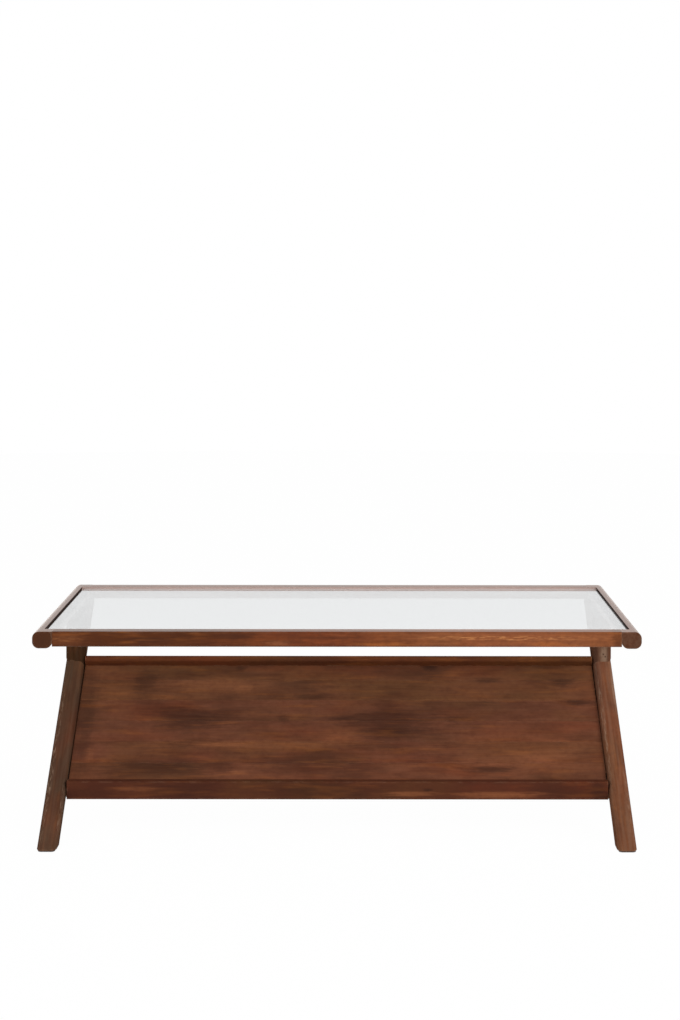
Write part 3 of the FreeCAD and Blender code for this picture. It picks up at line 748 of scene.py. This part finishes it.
    def _mark(self, tree: Tree, place: Socket, mark: Mark, rough: float, feather: Any = 0.5) -> Socket:
        """Draws one mark with a ragged outline, drawn out along the grain where the stain ran.

        Args:
            tree: The material's node tree.
            place: Coordinates along, across and through the board, as it lies in the table.
            mark: The mark.
            rough: How ragged the outline is, as a share of the mark's reach.
            feather: The fibres, 0 to 1, that the stain ran along.

        Returns:
            The mark's strength, 0 to 1.
        """
        sizes = (1 / (mark.half_length * MM), 1 / (mark.half_width * MM), 0)
        middle = (-mark.along * MM * sizes[0], -mark.across * MM * sizes[1], 0)
        local = add_node(tree, "Mapping", inputs={"Vector": place, "Scale": sizes, "Location": middle})[0]
        rag = add_node(tree, "TexNoise", inputs={
            "Vector": local, "Scale": 1.8, "Detail": 5, "Roughness": 0.65})["Color"]
        ragged = add_node(tree, "VectorMath", TIMES_ADD, {0: rag, 1: (rough, rough, 0), 2: local})[0]
        run = add_node(tree, "MapRange", inputs={
            "Value": feather, "To Min": self.run / 2, "To Max": -self.run / 2})[0]
        drawn = add_node(tree, "CombineXYZ", inputs={0: run})[0]
        feathered = add_node(tree, "VectorMath", ADD, {0: ragged, 1: drawn})[0]
        reach = add_node(tree, "VectorMath", DISTANCE, {0: feathered, 1: (rough / 2, rough / 2, 0)})["Value"]
        return add_node(tree, "MapRange", SMOOTH, {
            "Value": reach, "From Min": self.mark_edge[0], "From Max": self.mark_edge[1]})[0]


@dataclass(frozen=True)
class Beech:
    """Beech dowel rod: pale, even wood, turned and compressed, with short darker flecks along it."""

    body: str = "#c49a6c"
    fleck: str = "#9a6f45"
    flecks: Figure = Figure(6, 0.8, 1, 0.55, 0.7)

    def dress(self, piece: Piece, grain: Grain) -> None:
        """Gives a group of dowels this finish.

        Args:
            piece: The dowels' object.
            grain: Which way the dowels lie.
        """
        tree = new_material(piece, f"beech_{piece.name}")
        here = add_node(tree, "TexCoord")["Object"]
        place = add_node(tree, "Mapping", inputs={"Vector": here, "Rotation": grain.turn})[0]
        colour = add_node(tree, "Mix", COLOURS, {
            0: self.flecks.mask(tree, place), 6: linear(self.body), 7: linear(self.fleck)})[2]
        shader = add_node(tree, "BsdfPrincipled", inputs={
            "Base Color": colour, "Roughness": 0.6, "IOR": 1.46})[0]
        add_node(tree, "OutputMaterial", inputs={"Surface": shader})


@dataclass(frozen=True)
class ToughenedGlass:
    """Toughened soda-lime glass with polished edges.

    Seen from above it is clear. At a flat angle its two faces, and the film of cleaner and dust on them,
    mirror most of the room and veil what lies behind, so it reads as a pale sheet. Wiping smears the film.
    """

    tint: str = "#f3f6f8"
    depth_tint: str = "#9fd2c4"
    depth_density: float = 4
    ior: float = 1.52
    film_ior: float = 1.6
    film_roughness: float = 0.02
    # How far the surface turns away from the eye where the film begins to show and where it is full.
    film_angles: Pair = (0.45, 0.85)
    # The film's strength where it is wiped thin and in a smear, and the share of light that it scatters.
    film: Pair = (0.84, 0.96)
    veil: float = 0.6
    smears: Figure = Figure(220, 90, 2, 0.35, 0.75)

    def dress(self, piece: Piece) -> None:
        """Gives the pane this finish.

        Args:
            piece: The pane's object.
        """
        tree = new_material(piece, "toughened_glass")
        place = add_node(tree, "TexCoord")["Object"]
        smeared = self.smears.mask(tree, place, self.film)
        turned = add_node(tree, "LayerWeight", inputs={"Blend": 0.5})["Facing"]
        film = add_node(tree, "MapRange", SMOOTH, {
            "Value": turned, "From Min": self.film_angles[0], "From Max": self.film_angles[1],
            "To Max": smeared})[0]
        clearness = add_node(tree, "MapRange", inputs={
            "Value": film, "To Min": 1, "To Max": 1 - self.veil})[0]
        shader = add_node(tree, "BsdfPrincipled", inputs={
            "Base Color": linear(self.tint), "Roughness": 0, "IOR": self.ior,
            "Transmission Weight": clearness, "Coat Weight": film, "Coat IOR": self.film_ior,
            "Coat Roughness": self.film_roughness})[0]
        # Shadows and soft light pass straight through, as they do through thin glass.
        clear = add_node(tree, "BsdfTransparent", inputs={"Color": linear(self.tint)})[0]
        path = add_node(tree, "LightPath")
        passing = add_node(tree, "Math", LARGER, {0: path["Is Shadow Ray"], 1: path["Is Diffuse Ray"]})[0]
        both = add_node(tree, "MixShader", inputs={0: passing, 1: shader, 2: clear})[0]
        depth = add_node(tree, "VolumeAbsorption", inputs={
            "Color": linear(self.depth_tint), "Density": self.depth_density})[0]
        add_node(tree, "OutputMaterial", inputs={"Surface": both, "Volume": depth})


@dataclass(frozen=True)
class ClearPolyurethane:
    """Cast polyurethane bumpers: clear and slightly milky, with a skin that is dull from handling."""

    body: str = "#e9ece8"
    roughness: Pair = (0.18, 0.4)
    haze: Figure = Figure(2, 2, 1, 0.35, 0.7)

    def dress(self, piece: Piece) -> None:
        """Gives the bumpers this finish.

        Args:
            piece: The bumpers' object.
        """
        tree = new_material(piece, "clear_polyurethane")
        place = add_node(tree, "TexCoord")["Object"]
        dull = self.haze.mask(tree, place, self.roughness)
        shader = add_node(tree, "BsdfPrincipled", inputs={
            "Base Color": linear(self.body), "Roughness": dull, "IOR": 1.5, "Transmission Weight": 0.85})[0]
        add_node(tree, "OutputMaterial", inputs={"Surface": shader})


@dataclass(frozen=True)
class PressedFelt:
    """Pressed wool felt: matted fibres with no weave, so it is dull, mottled and fuzzy at its edges."""

    body: str = "#3a2c25"
    pale: str = "#66534a"
    # Wool fibres are 0.03 mm thick: tufts of them are drawn so that they show.
    tufts: Figure = Figure(1.6, 1.6, 3, 0.35, 0.75)
    tuft_height_mm: float = 0.4

    def dress(self, piece: Piece) -> None:
        """Gives a pad this finish.

        Args:
            piece: The pad's object.
        """
        tree = new_material(piece, f"pressed_felt_{piece.name}")
        tufts = self.tufts.mask(tree, add_node(tree, "TexCoord")["Object"])
        colour = add_node(tree, "Mix", COLOURS, {0: tufts, 6: linear(self.body), 7: linear(self.pale)})[2]
        bump = add_node(tree, "Bump", inputs={
            "Height": tufts, "Strength": 0.8, "Distance": self.tuft_height_mm * MM})[0]
        shader = add_node(tree, "BsdfPrincipled", inputs={
            "Base Color": colour, "Roughness": 0.95, "Normal": bump, "Sheen Weight": 0.4,
            "Sheen Roughness": 0.6})[0]
        add_node(tree, "OutputMaterial", inputs={"Surface": shader})


@dataclass(frozen=True)
class PlatedSteel:
    """Cold-formed steel: grey with a faint mottled bloom where zinc-plated, dull and dark where blackened."""

    word: str = "zinc_plated_steel"
    body: str = "#a9abad"
    bloom: str = "#84868a"
    roughness: Pair = (0.26, 0.42)
    spangle: Figure = Figure(2.5, 2.5, 3, 0.35, 0.7)

    def dress(self, piece: Piece) -> None:
        """Gives a group of fasteners this finish.

        Args:
            piece: The fasteners' object.
        """
        tree = new_material(piece, f"{self.word}_{piece.name}")
        spangle = self.spangle.mask(tree, add_node(tree, "TexCoord")["Object"])
        colour = add_node(tree, "Mix", COLOURS, {0: spangle, 6: linear(self.body), 7: linear(self.bloom)})[2]
        dull = add_node(tree, "MapRange", inputs={
            "Value": spangle, "To Min": self.roughness[0], "To Max": self.roughness[1]})[0]
        shader = add_node(tree, "BsdfPrincipled", inputs={
            "Base Color": colour, "Roughness": dull, "Metallic": 1})[0]
        add_node(tree, "OutputMaterial", inputs={"Surface": shader})


@dataclass
class TopFrame:
    """The four rails of the top, and the dowels between them."""

    nodes: dict[str, Piece]
    wood: StainedMango = StainedMango()
    dowel_wood: Beech = Beech()
    boards: dict[str, Board] = field(default_factory=lambda: {
        "end_rail_left": Board(
            Grain.ACROSS_TABLE, heart=(570, 380), shift=410, warmth=0.1, clouds=0.4, deep=0.4, rebated=True,
            coat=0.5, dust=0.95),
        "end_rail_right": Board(
            Grain.ACROSS_TABLE, heart=(-590, 396), shift=1310, warmth=0.12, clouds=0.4, rebated=True,
            coat=0.5, dust=0.85, wax=0.1),
        "front_rail": Board(
            Grain.ALONG_TABLE, heart=(330, 260), shift=905, warmth=0.62, clouds=0.25, deep=0.1, rebated=True,
            coat=0.4, dust=0.6,
            marks=(
                Mark(-450, 424, 390, 60, 0.76, Tone.DEEP),
                Mark(-365, 424, 60, 6, 0.5),
                Mark(-205, 431, 60, 6, 0.45),
                Mark(-110, 419, 60, 4, 0.4),
                Mark(-20, 428, 90, 4, 0.35),
                Mark(-530, 424, 45, 14, 0.2, Tone.PALE),
                Mark(-118, 417, 30, 6, 0.45, Tone.PALE),
                Mark(380, 424, 330, 40, 0.5, Tone.PALE),
                Mark(0, 411.5, 640, 2.5, 0.35),
                Mark(553, 424, 14, 40, 0.5, Tone.DEEP),
            ),
            flecks=(
                # Painted glints on the curly grain.
                Mark(340, 428, 190, 5, 0.7, Tone.GLINT),
                Mark(-530, 425, 40, 6, 0.2, Tone.GLINT),
            )),
        "back_rail": Board(
            Grain.ALONG_TABLE, heart=(350, -290), shift=2210, warmth=0.35, clouds=0.4, rebated=True,
            coat=0.6, dust=0.7),
    })

    def dress(self) -> None:
        """Gives the rails and dowels their woods."""
        for name, board in self.boards.items():
            self.wood.dress(self.nodes[name], board)
        self.dowel_wood.dress(self.nodes["rail_dowels"], Grain.ALONG_TABLE)


@dataclass
class GlassTop:
    """The loose pane and the domed bumpers under it."""

    nodes: dict[str, Piece]
    glass: ToughenedGlass = ToughenedGlass()
    rubber: ClearPolyurethane = ClearPolyurethane()
    dome: tuple[Ring, ...] = (
        Ring(0, 3.5), Ring(0.4, 3.45), Ring(0.7, 3.1), Ring(0.92, 2.4), Ring(1, 1.5))
    dome_points: int = 32

    def build(self) -> Piece:
        """Moulds the bumpers as flat domes.

        Returns:
            The piece with all the bumpers.
        """
        shape = bmesh.new()
        for frame, _ in solid_frames(self.nodes["glass_bumpers"], Vector((0, 0, 1))):
            loft(shape, [ring.points(frame, self.dome_points) for ring in self.dome])
        return set_piece("bumper_domes", shape, "glass_bumpers")

    def dress(self) -> None:
        """Gives the pane its glass and the bumpers their rubber."""
        self.glass.dress(self.nodes["glass_pane"])
        self.rubber.dress(self.build())


@dataclass
class SideFrame:
    """A diagonal front leg halved over an upright rear leg, with its felt pads."""

    nodes: dict[str, Piece]
    side: Side
    wood: StainedMango = StainedMango()
    felt: PressedFelt = PressedFelt()
    pad_corner_mm: float = 7.5
    pad_fuzz_mm: float = 0.35
    pad_points: int = 96
    # The tufts in a pad's edge are about 1 mm long: this many to a metre.
    pad_tufts: float = 900
    # Height and inset of the pad's rings: its edges are soft.
    pad_rings: tuple[Pair, ...] = (
        (0, 0.45), (0.35, 0.12), (1, 0), (1.65, 0.1), (2, 0.4))
    # The right rear leg has two old nail holes, a painted highlight down its face and painted shade on its
    # inner side.
    boards: dict[str, Board] = field(default_factory=lambda: {
        "front_leg_left": Board(
            Grain.UP_SLOPE, heart=(640, -90), shift=500, warmth=0, clouds=0.35, base="#4a3729", coat=0,
            wax=0.08,
            flecks=(
                # Pale flecks along the outer and inner edges: partly wear, partly painted highlight.
                Mark(0, 589, 260, 5, 0.45, Tone.WEAR_AND_PAINTED_HIGHLIGHT),
                Mark(-120, 559, 80, 4, 0.3, Tone.WEAR_AND_PAINTED_HIGHLIGHT),
            )),
        "front_leg_right": Board(
            Grain.UP_SLOPE, heart=(-500, -70), shift=1700, warmth=0.34, clouds=0.3, base="#623929", coat=0,
            wax=0.18,
            marks=(
                # Painted shade down the inner side, and a pale outer edge that is partly wear and partly
                # painted highlight.
                Mark(230, -560, 110, 9, 0.4),
                Mark(215, -592, 90, 5, 0.4, Tone.WEAR_AND_PAINTED_HIGHLIGHT),
            ),
            flecks=(
                # Pale flecks along both edges: partly wear, partly painted highlight.
                Mark(100, -561, 190, 5, 0.4, Tone.WEAR_AND_PAINTED_HIGHLIGHT),
                Mark(-100, -591, 120, 5, 0.3, Tone.WEAR_AND_PAINTED_HIGHLIGHT),
            )),
        "rear_leg_left": Board(
            Grain.UPRIGHT, heart=(-505, 60), shift=833, warmth=0, clouds=0.4, base="#382511", coat=0,
            wax=0.03,
            marks=(Mark(320, -570, 90, 20, 0.3),)),
        "rear_leg_right": Board(
            Grain.UPRIGHT, heart=(645, 60), shift=2033, warmth=0.05, clouds=0.2, base="#533627", coat=0,
            wax=0.08,
            marks=(
                # Painted shade down the inner side, a painted highlight down the face, and two nail holes.
                Mark(312, 561, 60, 7, 0.5),
                Mark(315, 578.5, 30, 9, 0.5, Tone.WEAR_AND_PAINTED_HIGHLIGHT),
                Mark(317, 577.5, 2.2, 2.2, 0.95, Tone.HOLE),
                Mark(311.5, 582, 2.2, 2.2, 0.95, Tone.HOLE),
            )),
    })

    def build(self) -> list[Piece]:
        """Cuts the felt pads, soft and a little fuzzy at the edges.

        Returns:
            The pads.
        """
        pads = []
        for place in ("front", "rear"):
            node = f"felt_pad_{place}_{self.side.word}"
            low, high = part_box(node)
            shape = bmesh.new()
            loft(shape, [self._pad_loop(low, high, height, inset) for height, inset in self.pad_rings])
            pads.append(set_piece(f"pressed_{node}", shape, node))
        return pads

    def _pad_loop(self, low: Vector, high: Vector, height: float, inset: float) -> list[Vector]:
        """Gives one outline of a felt pad.

        Args:
            low: The pad's lowest corner.
            high: The pad's highest corner.
            height: The outline's height over the floor, in mm.
            inset: How far it lies inside the pad's box, in mm.

        Returns:
            The outline's points.
        """
        corner = self.pad_corner_mm * MM
        middle = (low + high) / 2
        half = (high - low) / 2
        points = []
        for index in range(self.pad_points):
            turn = 2 * math.pi * (index + 0.5) / self.pad_points
            across = math.copysign(half.x - corner, math.cos(turn)) + corner * math.cos(turn)
            along = math.copysign(half.y - corner, math.sin(turn)) + corner * math.sin(turn)
            fuzz = 0.5 + 0.5 * noise.noise(Vector((across, along, height * MM)) * self.pad_tufts)
            keep = 1 - (inset + self.pad_fuzz_mm * fuzz) * MM / half.x
            points.append(Vector((middle.x + across * keep, middle.y + along * keep, height * MM)))
        return points

    def dress(self) -> None:
        """Gives the legs their wood and the pads their felt."""
        for place in ("front", "rear"):
            name = f"{place}_leg_{self.side.word}"
            self.wood.dress(self.nodes[name], self.boards[name])
        for pad in self.build():
            self.felt.dress(pad)


@dataclass
class LegJoints:
    """The pegs through the legs' halved joints, and the dowels between the legs and the end rails."""

    nodes: dict[str, Piece]
    wood: StainedMango = StainedMango()
    dowel_wood: Beech = Beech()
    peg: Board = Board(Grain.ALONG_TABLE, heart=(140, 290), shift=77, warmth=0.1, clouds=0.3, coat=0)

    def dress(self) -> None:
        """Gives the pegs and dowels their woods."""
        self.wood.dress(self.nodes["lap_pegs"], self.peg)
        self.dowel_wood.dress(self.nodes["leg_dowels"], Grain.UPRIGHT)


@dataclass
class SlantedTray:
    """The plank tray between the legs, with its rail, lip, battens and steel fasteners."""

    nodes: dict[str, Piece]
    wood: StainedMango = StainedMango()
    dowel_wood: Beech = Beech()
    steel: PlatedSteel = PlatedSteel()
    black_steel: PlatedSteel = PlatedSteel("blackened_steel", "#2b2724", "#1b1816", (0.6, 0.75))
    bolt: Fastener = Fastener(radius=3, plain=40, head_height=3, head=(
        Ring(-3, 3), Ring(-3, 8.5), Ring(-1.3, 8.5), Ring(-0.7, 8), Ring(-0.25, 6.7), Ring(-0.04, 5),
        Ring(0, 3.6), Ring(0, 2.5, Outline.HEXAGON), Ring(-2, 2.4, Outline.HEXAGON)))
    screw: Fastener = Fastener(radius=2, plain=8, head_height=3, head=(
        Ring(-3, 2), Ring(-3, 3.9), Ring(-0.6, 4), Ring(-0.15, 3.7), Ring(0, 2.9),
        Ring(0, 2.2, Outline.CROSS), Ring(-1.5, 1.4, Outline.CROSS)))
    plank_width: float = 56.4
    # Where the tray's top meets its front rail, up the slope from the table's origin, in mm.
    start: float = -46.2
    # The planks' own colours, from the front.
    plank_bases: tuple[str, ...] = ("#6a4131", "#6a4133", "#6a4233", "#694132", "#6a432f", "#6a432e")
    # Each plank was cut this much further along the tree, in mm.
    plank_shift: float = 611
    # The tree's heart lay under each plank: its step down the slope, its depth and its step in depth, in mm.
    heart_step: float = 20
    heart_depth: float = 60
    heart_depth_step: float = 25
    # A ragged mark reaches this many times its half width.
    mark_reach: float = 1.4
    # Narrow marks as strong as this are knots. The grain bends round them over so many times their length and
    # width, by this share of their width.
    knot_strength: float = 0.6
    knot_width: float = 15
    knot_bend: Pair = (1.6, 2.2)
    knot_push: float = 0.8
    # Marks in the planks, along the tray and up from its front rail.
    marks: tuple[Mark, ...] = (
        Mark(-476, 252, 50, 40, 0.25, Tone.PALE),
        Mark(-249, 270, 135, 28, 0.25, Tone.PALE),
        Mark(-158, 104, 210, 16, 0.3, Tone.PALE),
        Mark(11, 129, 60, 29, 0.28, Tone.PALE),
        Mark(378, 86, 190, 70, 0.23, Tone.PALE),
        Mark(433, 77, 65, 19, 0.25, Tone.PALE),
        Mark(330, 226, 220, 5, 0.2, Tone.PALE),
        Mark(-519, 79, 13, 21, 0.23, Tone.PALE),
        Mark(-317, 173, 100, 40, 0.66),
        Mark(-57, 236, 46, 10, 0.55),
        Mark(117, 163, 115, 48, 0.6),
        Mark(125, 136, 55, 19, 0.3),
        Mark(-382, 44, 150, 28, 0.55),
        Mark(-234, 53, 24, 20, 0.35),
        Mark(-63, 53, 145, 34, 0.5),
        Mark(317, 40, 60, 11, 0.72),
        Mark(486, 277, 34, 11, 0.65),
        Mark(514, 221, 34, 10, 0.6),
        Mark(323, 283, 36, 9, 0.45),
        Mark(247, 174, 32, 9, 0.45),
        Mark(200, 319, 22, 11, 0.75),
        Mark(-417, 283, 34, 41, 0.48),
        Mark(-115, 175, 16, 12, 0.4),
        Mark(-213, 316, 16, 8, 0.5),
        Mark(3, 175, 36, 7, 0.45),
        # Painted shadow of the left leg on the tray's left end.
        Mark(-535, 160, 22, 190, 0.45),
        Mark(-244, 104, 55, 5, 0.42, Tone.PALE),
        Mark(-204, 257, 24, 14, 0.32, Tone.PALE),
        Mark(-205, 32, 20, 6, 0.32, Tone.PALE),
    )
    boards: dict[str, Board] = field(default_factory=lambda: {
        "tray_front_rail": Board(
            Grain.ALONG_TABLE, heart=(40, 150), shift=3300, warmth=0.08, clouds=0.4, deep=0.2,
            base="#4d2920",
            marks=(
                Mark(-409, 92, 55, 6, 0.25, Tone.PALE),
                Mark(-300, 84, 80, 30, 0.45),
                Mark(-30, 84, 140, 30, 0.5),
                Mark(150, 82, 60, 6, 0.45, Tone.PALE),
                Mark(185, 90, 12, 4, 0.6),
                Mark(330, 80, 110, 8, 0.5, Tone.PALE),
                Mark(535, 84, 22, 30, 0.6),
            )),
        "tray_back_lip": Board(
            Grain.ALONG_TRAY, heart=(200, -20), shift=2750, warmth=0.25, clouds=0.4, deep=0.25),
        "tray_batten_left": Board(Grain.UP_SLOPE, heart=(300, -160), shift=823),
        "tray_batten_right": Board(Grain.UP_SLOPE, heart=(-300, -160), shift=977),
    })

    def _plank(self, number: int) -> Board:
        """Gives a plank's board, with the marks that reach it.

        Args:
            number: The plank, counted from the front.

        Returns:
            The board.
        """
        middle = self.plank_width * (number - 0.5)
        marks = tuple(replace(mark, across=mark.across + self.start) for mark in self.marks if abs(
            mark.across - middle) < self.plank_width / 2 + self.mark_reach * mark.half_width)
        heart = (self.start + middle - self.heart_step * (number % 3),
                 -self.heart_depth - self.heart_depth_step * (number % 4))
        knots = tuple(Mark(mark.along, mark.across, self.knot_bend[0] * mark.half_length,
                           self.knot_bend[1] * mark.half_width, self.knot_push * mark.half_width)
                      for mark in marks
                      if mark.strength >= self.knot_strength and mark.half_width <= self.knot_width)
        return Board(Grain.ALONG_TRAY, heart, self.plank_shift * number, warmth=0.2, clouds=0.5,
                     base=self.plank_bases[number - 1], marks=marks, coat=0.06, wax=0.03, wear=0.12,
                     knots=knots)

    def build(self) -> list[Piece]:
        """Forms the bolts and screws.

        Returns:
            The two pieces.
        """
        bolts = bmesh.new()
        for side in Side:
            for frame, length in solid_frames(self.nodes["tray_bolts"], Vector((side.value, 0, 0))):
                if frame.translation.x * side.value > 0:
                    loft(bolts, [ring.points(frame) for ring in self.bolt.rings(length / MM)])
        screws = bmesh.new()
        for frame, length in solid_frames(self.nodes["batten_screws"], -Vector(Grain.ALONG_TRAY.value[2])):
            loft(screws, [ring.points(frame) for ring in self.screw.rings(length / MM)])
        return [set_piece("socket_bolts", bolts, "tray_bolts"),
                set_piece("cross_head_screws", screws, "batten_screws")]

    def dress(self) -> None:
        """Gives the tray its woods and its fasteners their steel."""
        for number in range(1, len(self.plank_bases) + 1):
            self.wood.dress(self.nodes[f"tray_plank_{number}"], self._plank(number))
        for name, board in self.boards.items():
            self.wood.dress(self.nodes[name], board)
        self.dowel_wood.dress(self.nodes["tray_dowels"], Grain.ALONG_TRAY)
        bolts, screws = self.build()
        for piece in (bolts, self.nodes["tray_spacers"]):
            self.black_steel.dress(piece)
        for piece in (screws, self.nodes["barrel_nuts"]):
            self.steel.dress(piece)


@dataclass
class Studio:
    """A white studio: floor, surroundings, soft lamps and the camera."""

    white: str = "#ffffff"
    floor_colour: str = "#f2f2f0"
    floor_reach: float = 9
    floor_sides: int = 96
    # How white the floor looks by itself. The rest of it takes the light and the table's shadow.
    floor_glow: float = 0.985
    # The room's soft light, and how bright its white walls and its dim ceiling are in a mirror.
    room_light: float = 0.6
    wall_glow: float = 0.84
    ceiling_glow: float = 0.25
    # Walls turn to ceiling between these heights, from 0 at the horizon to 1 overhead.
    ceiling_heights: Pair = (0.28, 0.75)
    # Each lamp's place in metres, and its power in watts: the stronger one is on the right.
    lamps: dict[str, tuple[tuple[float, float, float], float]] = field(default_factory=lambda: {
        "key_lamp": ((2.8, -3.2, 2.6), 106),
        "fill_lamp": ((-2.8, -3, 2.4), 49),
    })
    lamp_size: float = 2.2
    lamp_aim: tuple[float, float, float] = (0, 0, 0.3)
    camera_place: tuple[float, float, float] = (0.033, -4.136, 1.1265)
    camera_roll: float = math.radians(0.05)
    # The picture's optical axis meets it here, in pixels, and the focal length is in pixels too.
    axis_pixel: Pair = (354, 283)
    focal_pixels: float = 1950
    sensor_mm: float = 36

    def build(self) -> None:
        """Sets up everything around the table."""
        self._floor()
        self._surroundings()
        self._lamps()
        self._camera()
        LOG.info("studio: floor, surroundings, lamps and camera")

    def _floor(self) -> None:
        """Lays a pale round floor that keeps a faint shadow."""
        mesh = bpy.data.meshes.new("studio_floor")
        shape = bmesh.new()
        bmesh.ops.create_circle(shape, cap_ends=True, segments=self.floor_sides, radius=self.floor_reach)
        shape.to_mesh(mesh)
        shape.free()
        floor = bpy.data.objects.new("studio_floor", mesh)
        bpy.context.scene.collection.objects.link(floor)
        tree = new_material(floor, "white_studio_floor")
        matt = add_node(tree, "BsdfDiffuse", inputs={"Color": linear(self.floor_colour)})[0]
        glow = add_node(tree, "Emission", inputs={"Color": linear(self.white), "Strength": 1})[0]
        share = add_node(tree, "Math", TIMES, {0: self._seen(tree), 1: self.floor_glow})[0]
        both = add_node(tree, "MixShader", inputs={0: share, 1: matt, 2: glow})[0]
        add_node(tree, "OutputMaterial", inputs={"Surface": both})

    def _seen(self, tree: Tree) -> Socket:
        """Finds the rays that show the backdrop: straight, mirrored or through glass.

        Args:
            tree: The node tree that reads it.

        Returns:
            1 for such a ray and 0 for light that falls on the table.
        """
        path = add_node(tree, "LightPath")
        mirrored = add_node(tree, "Math", LARGER, {
            0: path["Is Glossy Ray"], 1: path["Is Transmission Ray"]})[0]
        return add_node(tree, "Math", LARGER, {0: path["Is Camera Ray"], 1: mirrored})[0]

    def _surroundings(self) -> None:
        """Makes the white surroundings and their soft light."""
        world = bpy.data.worlds.new("white_studio")
        world.use_nodes = True
        tree = world.node_tree
        tree.nodes.clear()
        path = add_node(tree, "LightPath")
        shown = add_node(tree, "Math", LARGER, {0: path["Is Camera Ray"], 1: path["Is Transmission Ray"]})[0]
        lit = add_node(tree, "MapRange", inputs={"Value": shown, "To Min": self.room_light, "To Max": 1})[0]
        sky = add_node(tree, "TexCoord")["Generated"]
        height = add_node(tree, "SeparateXYZ", inputs={0: sky})[2]
        mirrored = add_node(tree, "MapRange", SMOOTH, {
            "Value": height, "From Min": self.ceiling_heights[0], "From Max": self.ceiling_heights[1],
            "To Min": self.wall_glow, "To Max": self.ceiling_glow})[0]
        strength = add_node(tree, "Mix", {"data_type": "FLOAT"}, {
            0: path["Is Glossy Ray"], 2: lit, 3: mirrored})[0]
        light = add_node(tree, "Background", inputs={"Color": linear(self.white), "Strength": strength})[0]
        add_node(tree, "OutputWorld", inputs={"Surface": light})
        bpy.context.scene.world = world

    def _lamps(self) -> None:
        """Hangs two soft lamps in front, that show in no mirror or glass."""
        for name, (place, power) in self.lamps.items():
            lamp = bpy.data.lights.new(name, "AREA")
            lamp.size = self.lamp_size
            lamp.energy = power
            holder = bpy.data.objects.new(name, lamp)
            holder.location = place
            aim = Vector(self.lamp_aim) - Vector(place)
            holder.rotation_euler = aim.to_track_quat("-Z", "Y").to_euler()
            holder.visible_glossy = False
            holder.visible_transmission = False
            bpy.context.scene.collection.objects.link(holder)

    def _camera(self) -> None:
        """Sets the camera where the photograph was taken from, level and looking along +Y."""
        width, height = IMAGE_SIZE
        longer = max(IMAGE_SIZE)
        lens = bpy.data.cameras.new("photo_camera")
        lens.sensor_fit = "AUTO"
        lens.sensor_width = self.sensor_mm
        lens.lens = self.focal_pixels / longer * self.sensor_mm
        lens.shift_x = (width / 2 - self.axis_pixel[0]) / longer
        lens.shift_y = (self.axis_pixel[1] - height / 2) / longer
        holder = bpy.data.objects.new("photo_camera", lens)
        holder.location = self.camera_place
        turn = Matrix.Rotation(math.pi / 2, 4, "X") @ Matrix.Rotation(self.camera_roll, 4, "Z")
        holder.rotation_euler = turn.to_euler()
        bpy.context.scene.collection.objects.link(holder)
        bpy.context.scene.camera = holder
        bpy.context.scene.view_settings.view_transform = "Standard"


def clear_scene() -> None:
    """Removes what a new file holds."""
    for thing in list(bpy.data.objects):
        bpy.data.objects.remove(thing)


def main() -> None:
    """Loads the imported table, dresses each sub-assembly and sets up the studio."""
    logging.basicConfig(level=logging.INFO, format="%(message)s")
    clear_scene()
    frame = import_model()
    nodes = frame["nodes"]
    TopFrame(nodes).dress()
    GlassTop(nodes).dress()
    for side in Side:
        SideFrame(nodes, side).dress()
    LegJoints(nodes).dress()
    SlantedTray(nodes).dress()
    Studio().build()


if __name__ == "__main__":
    main()
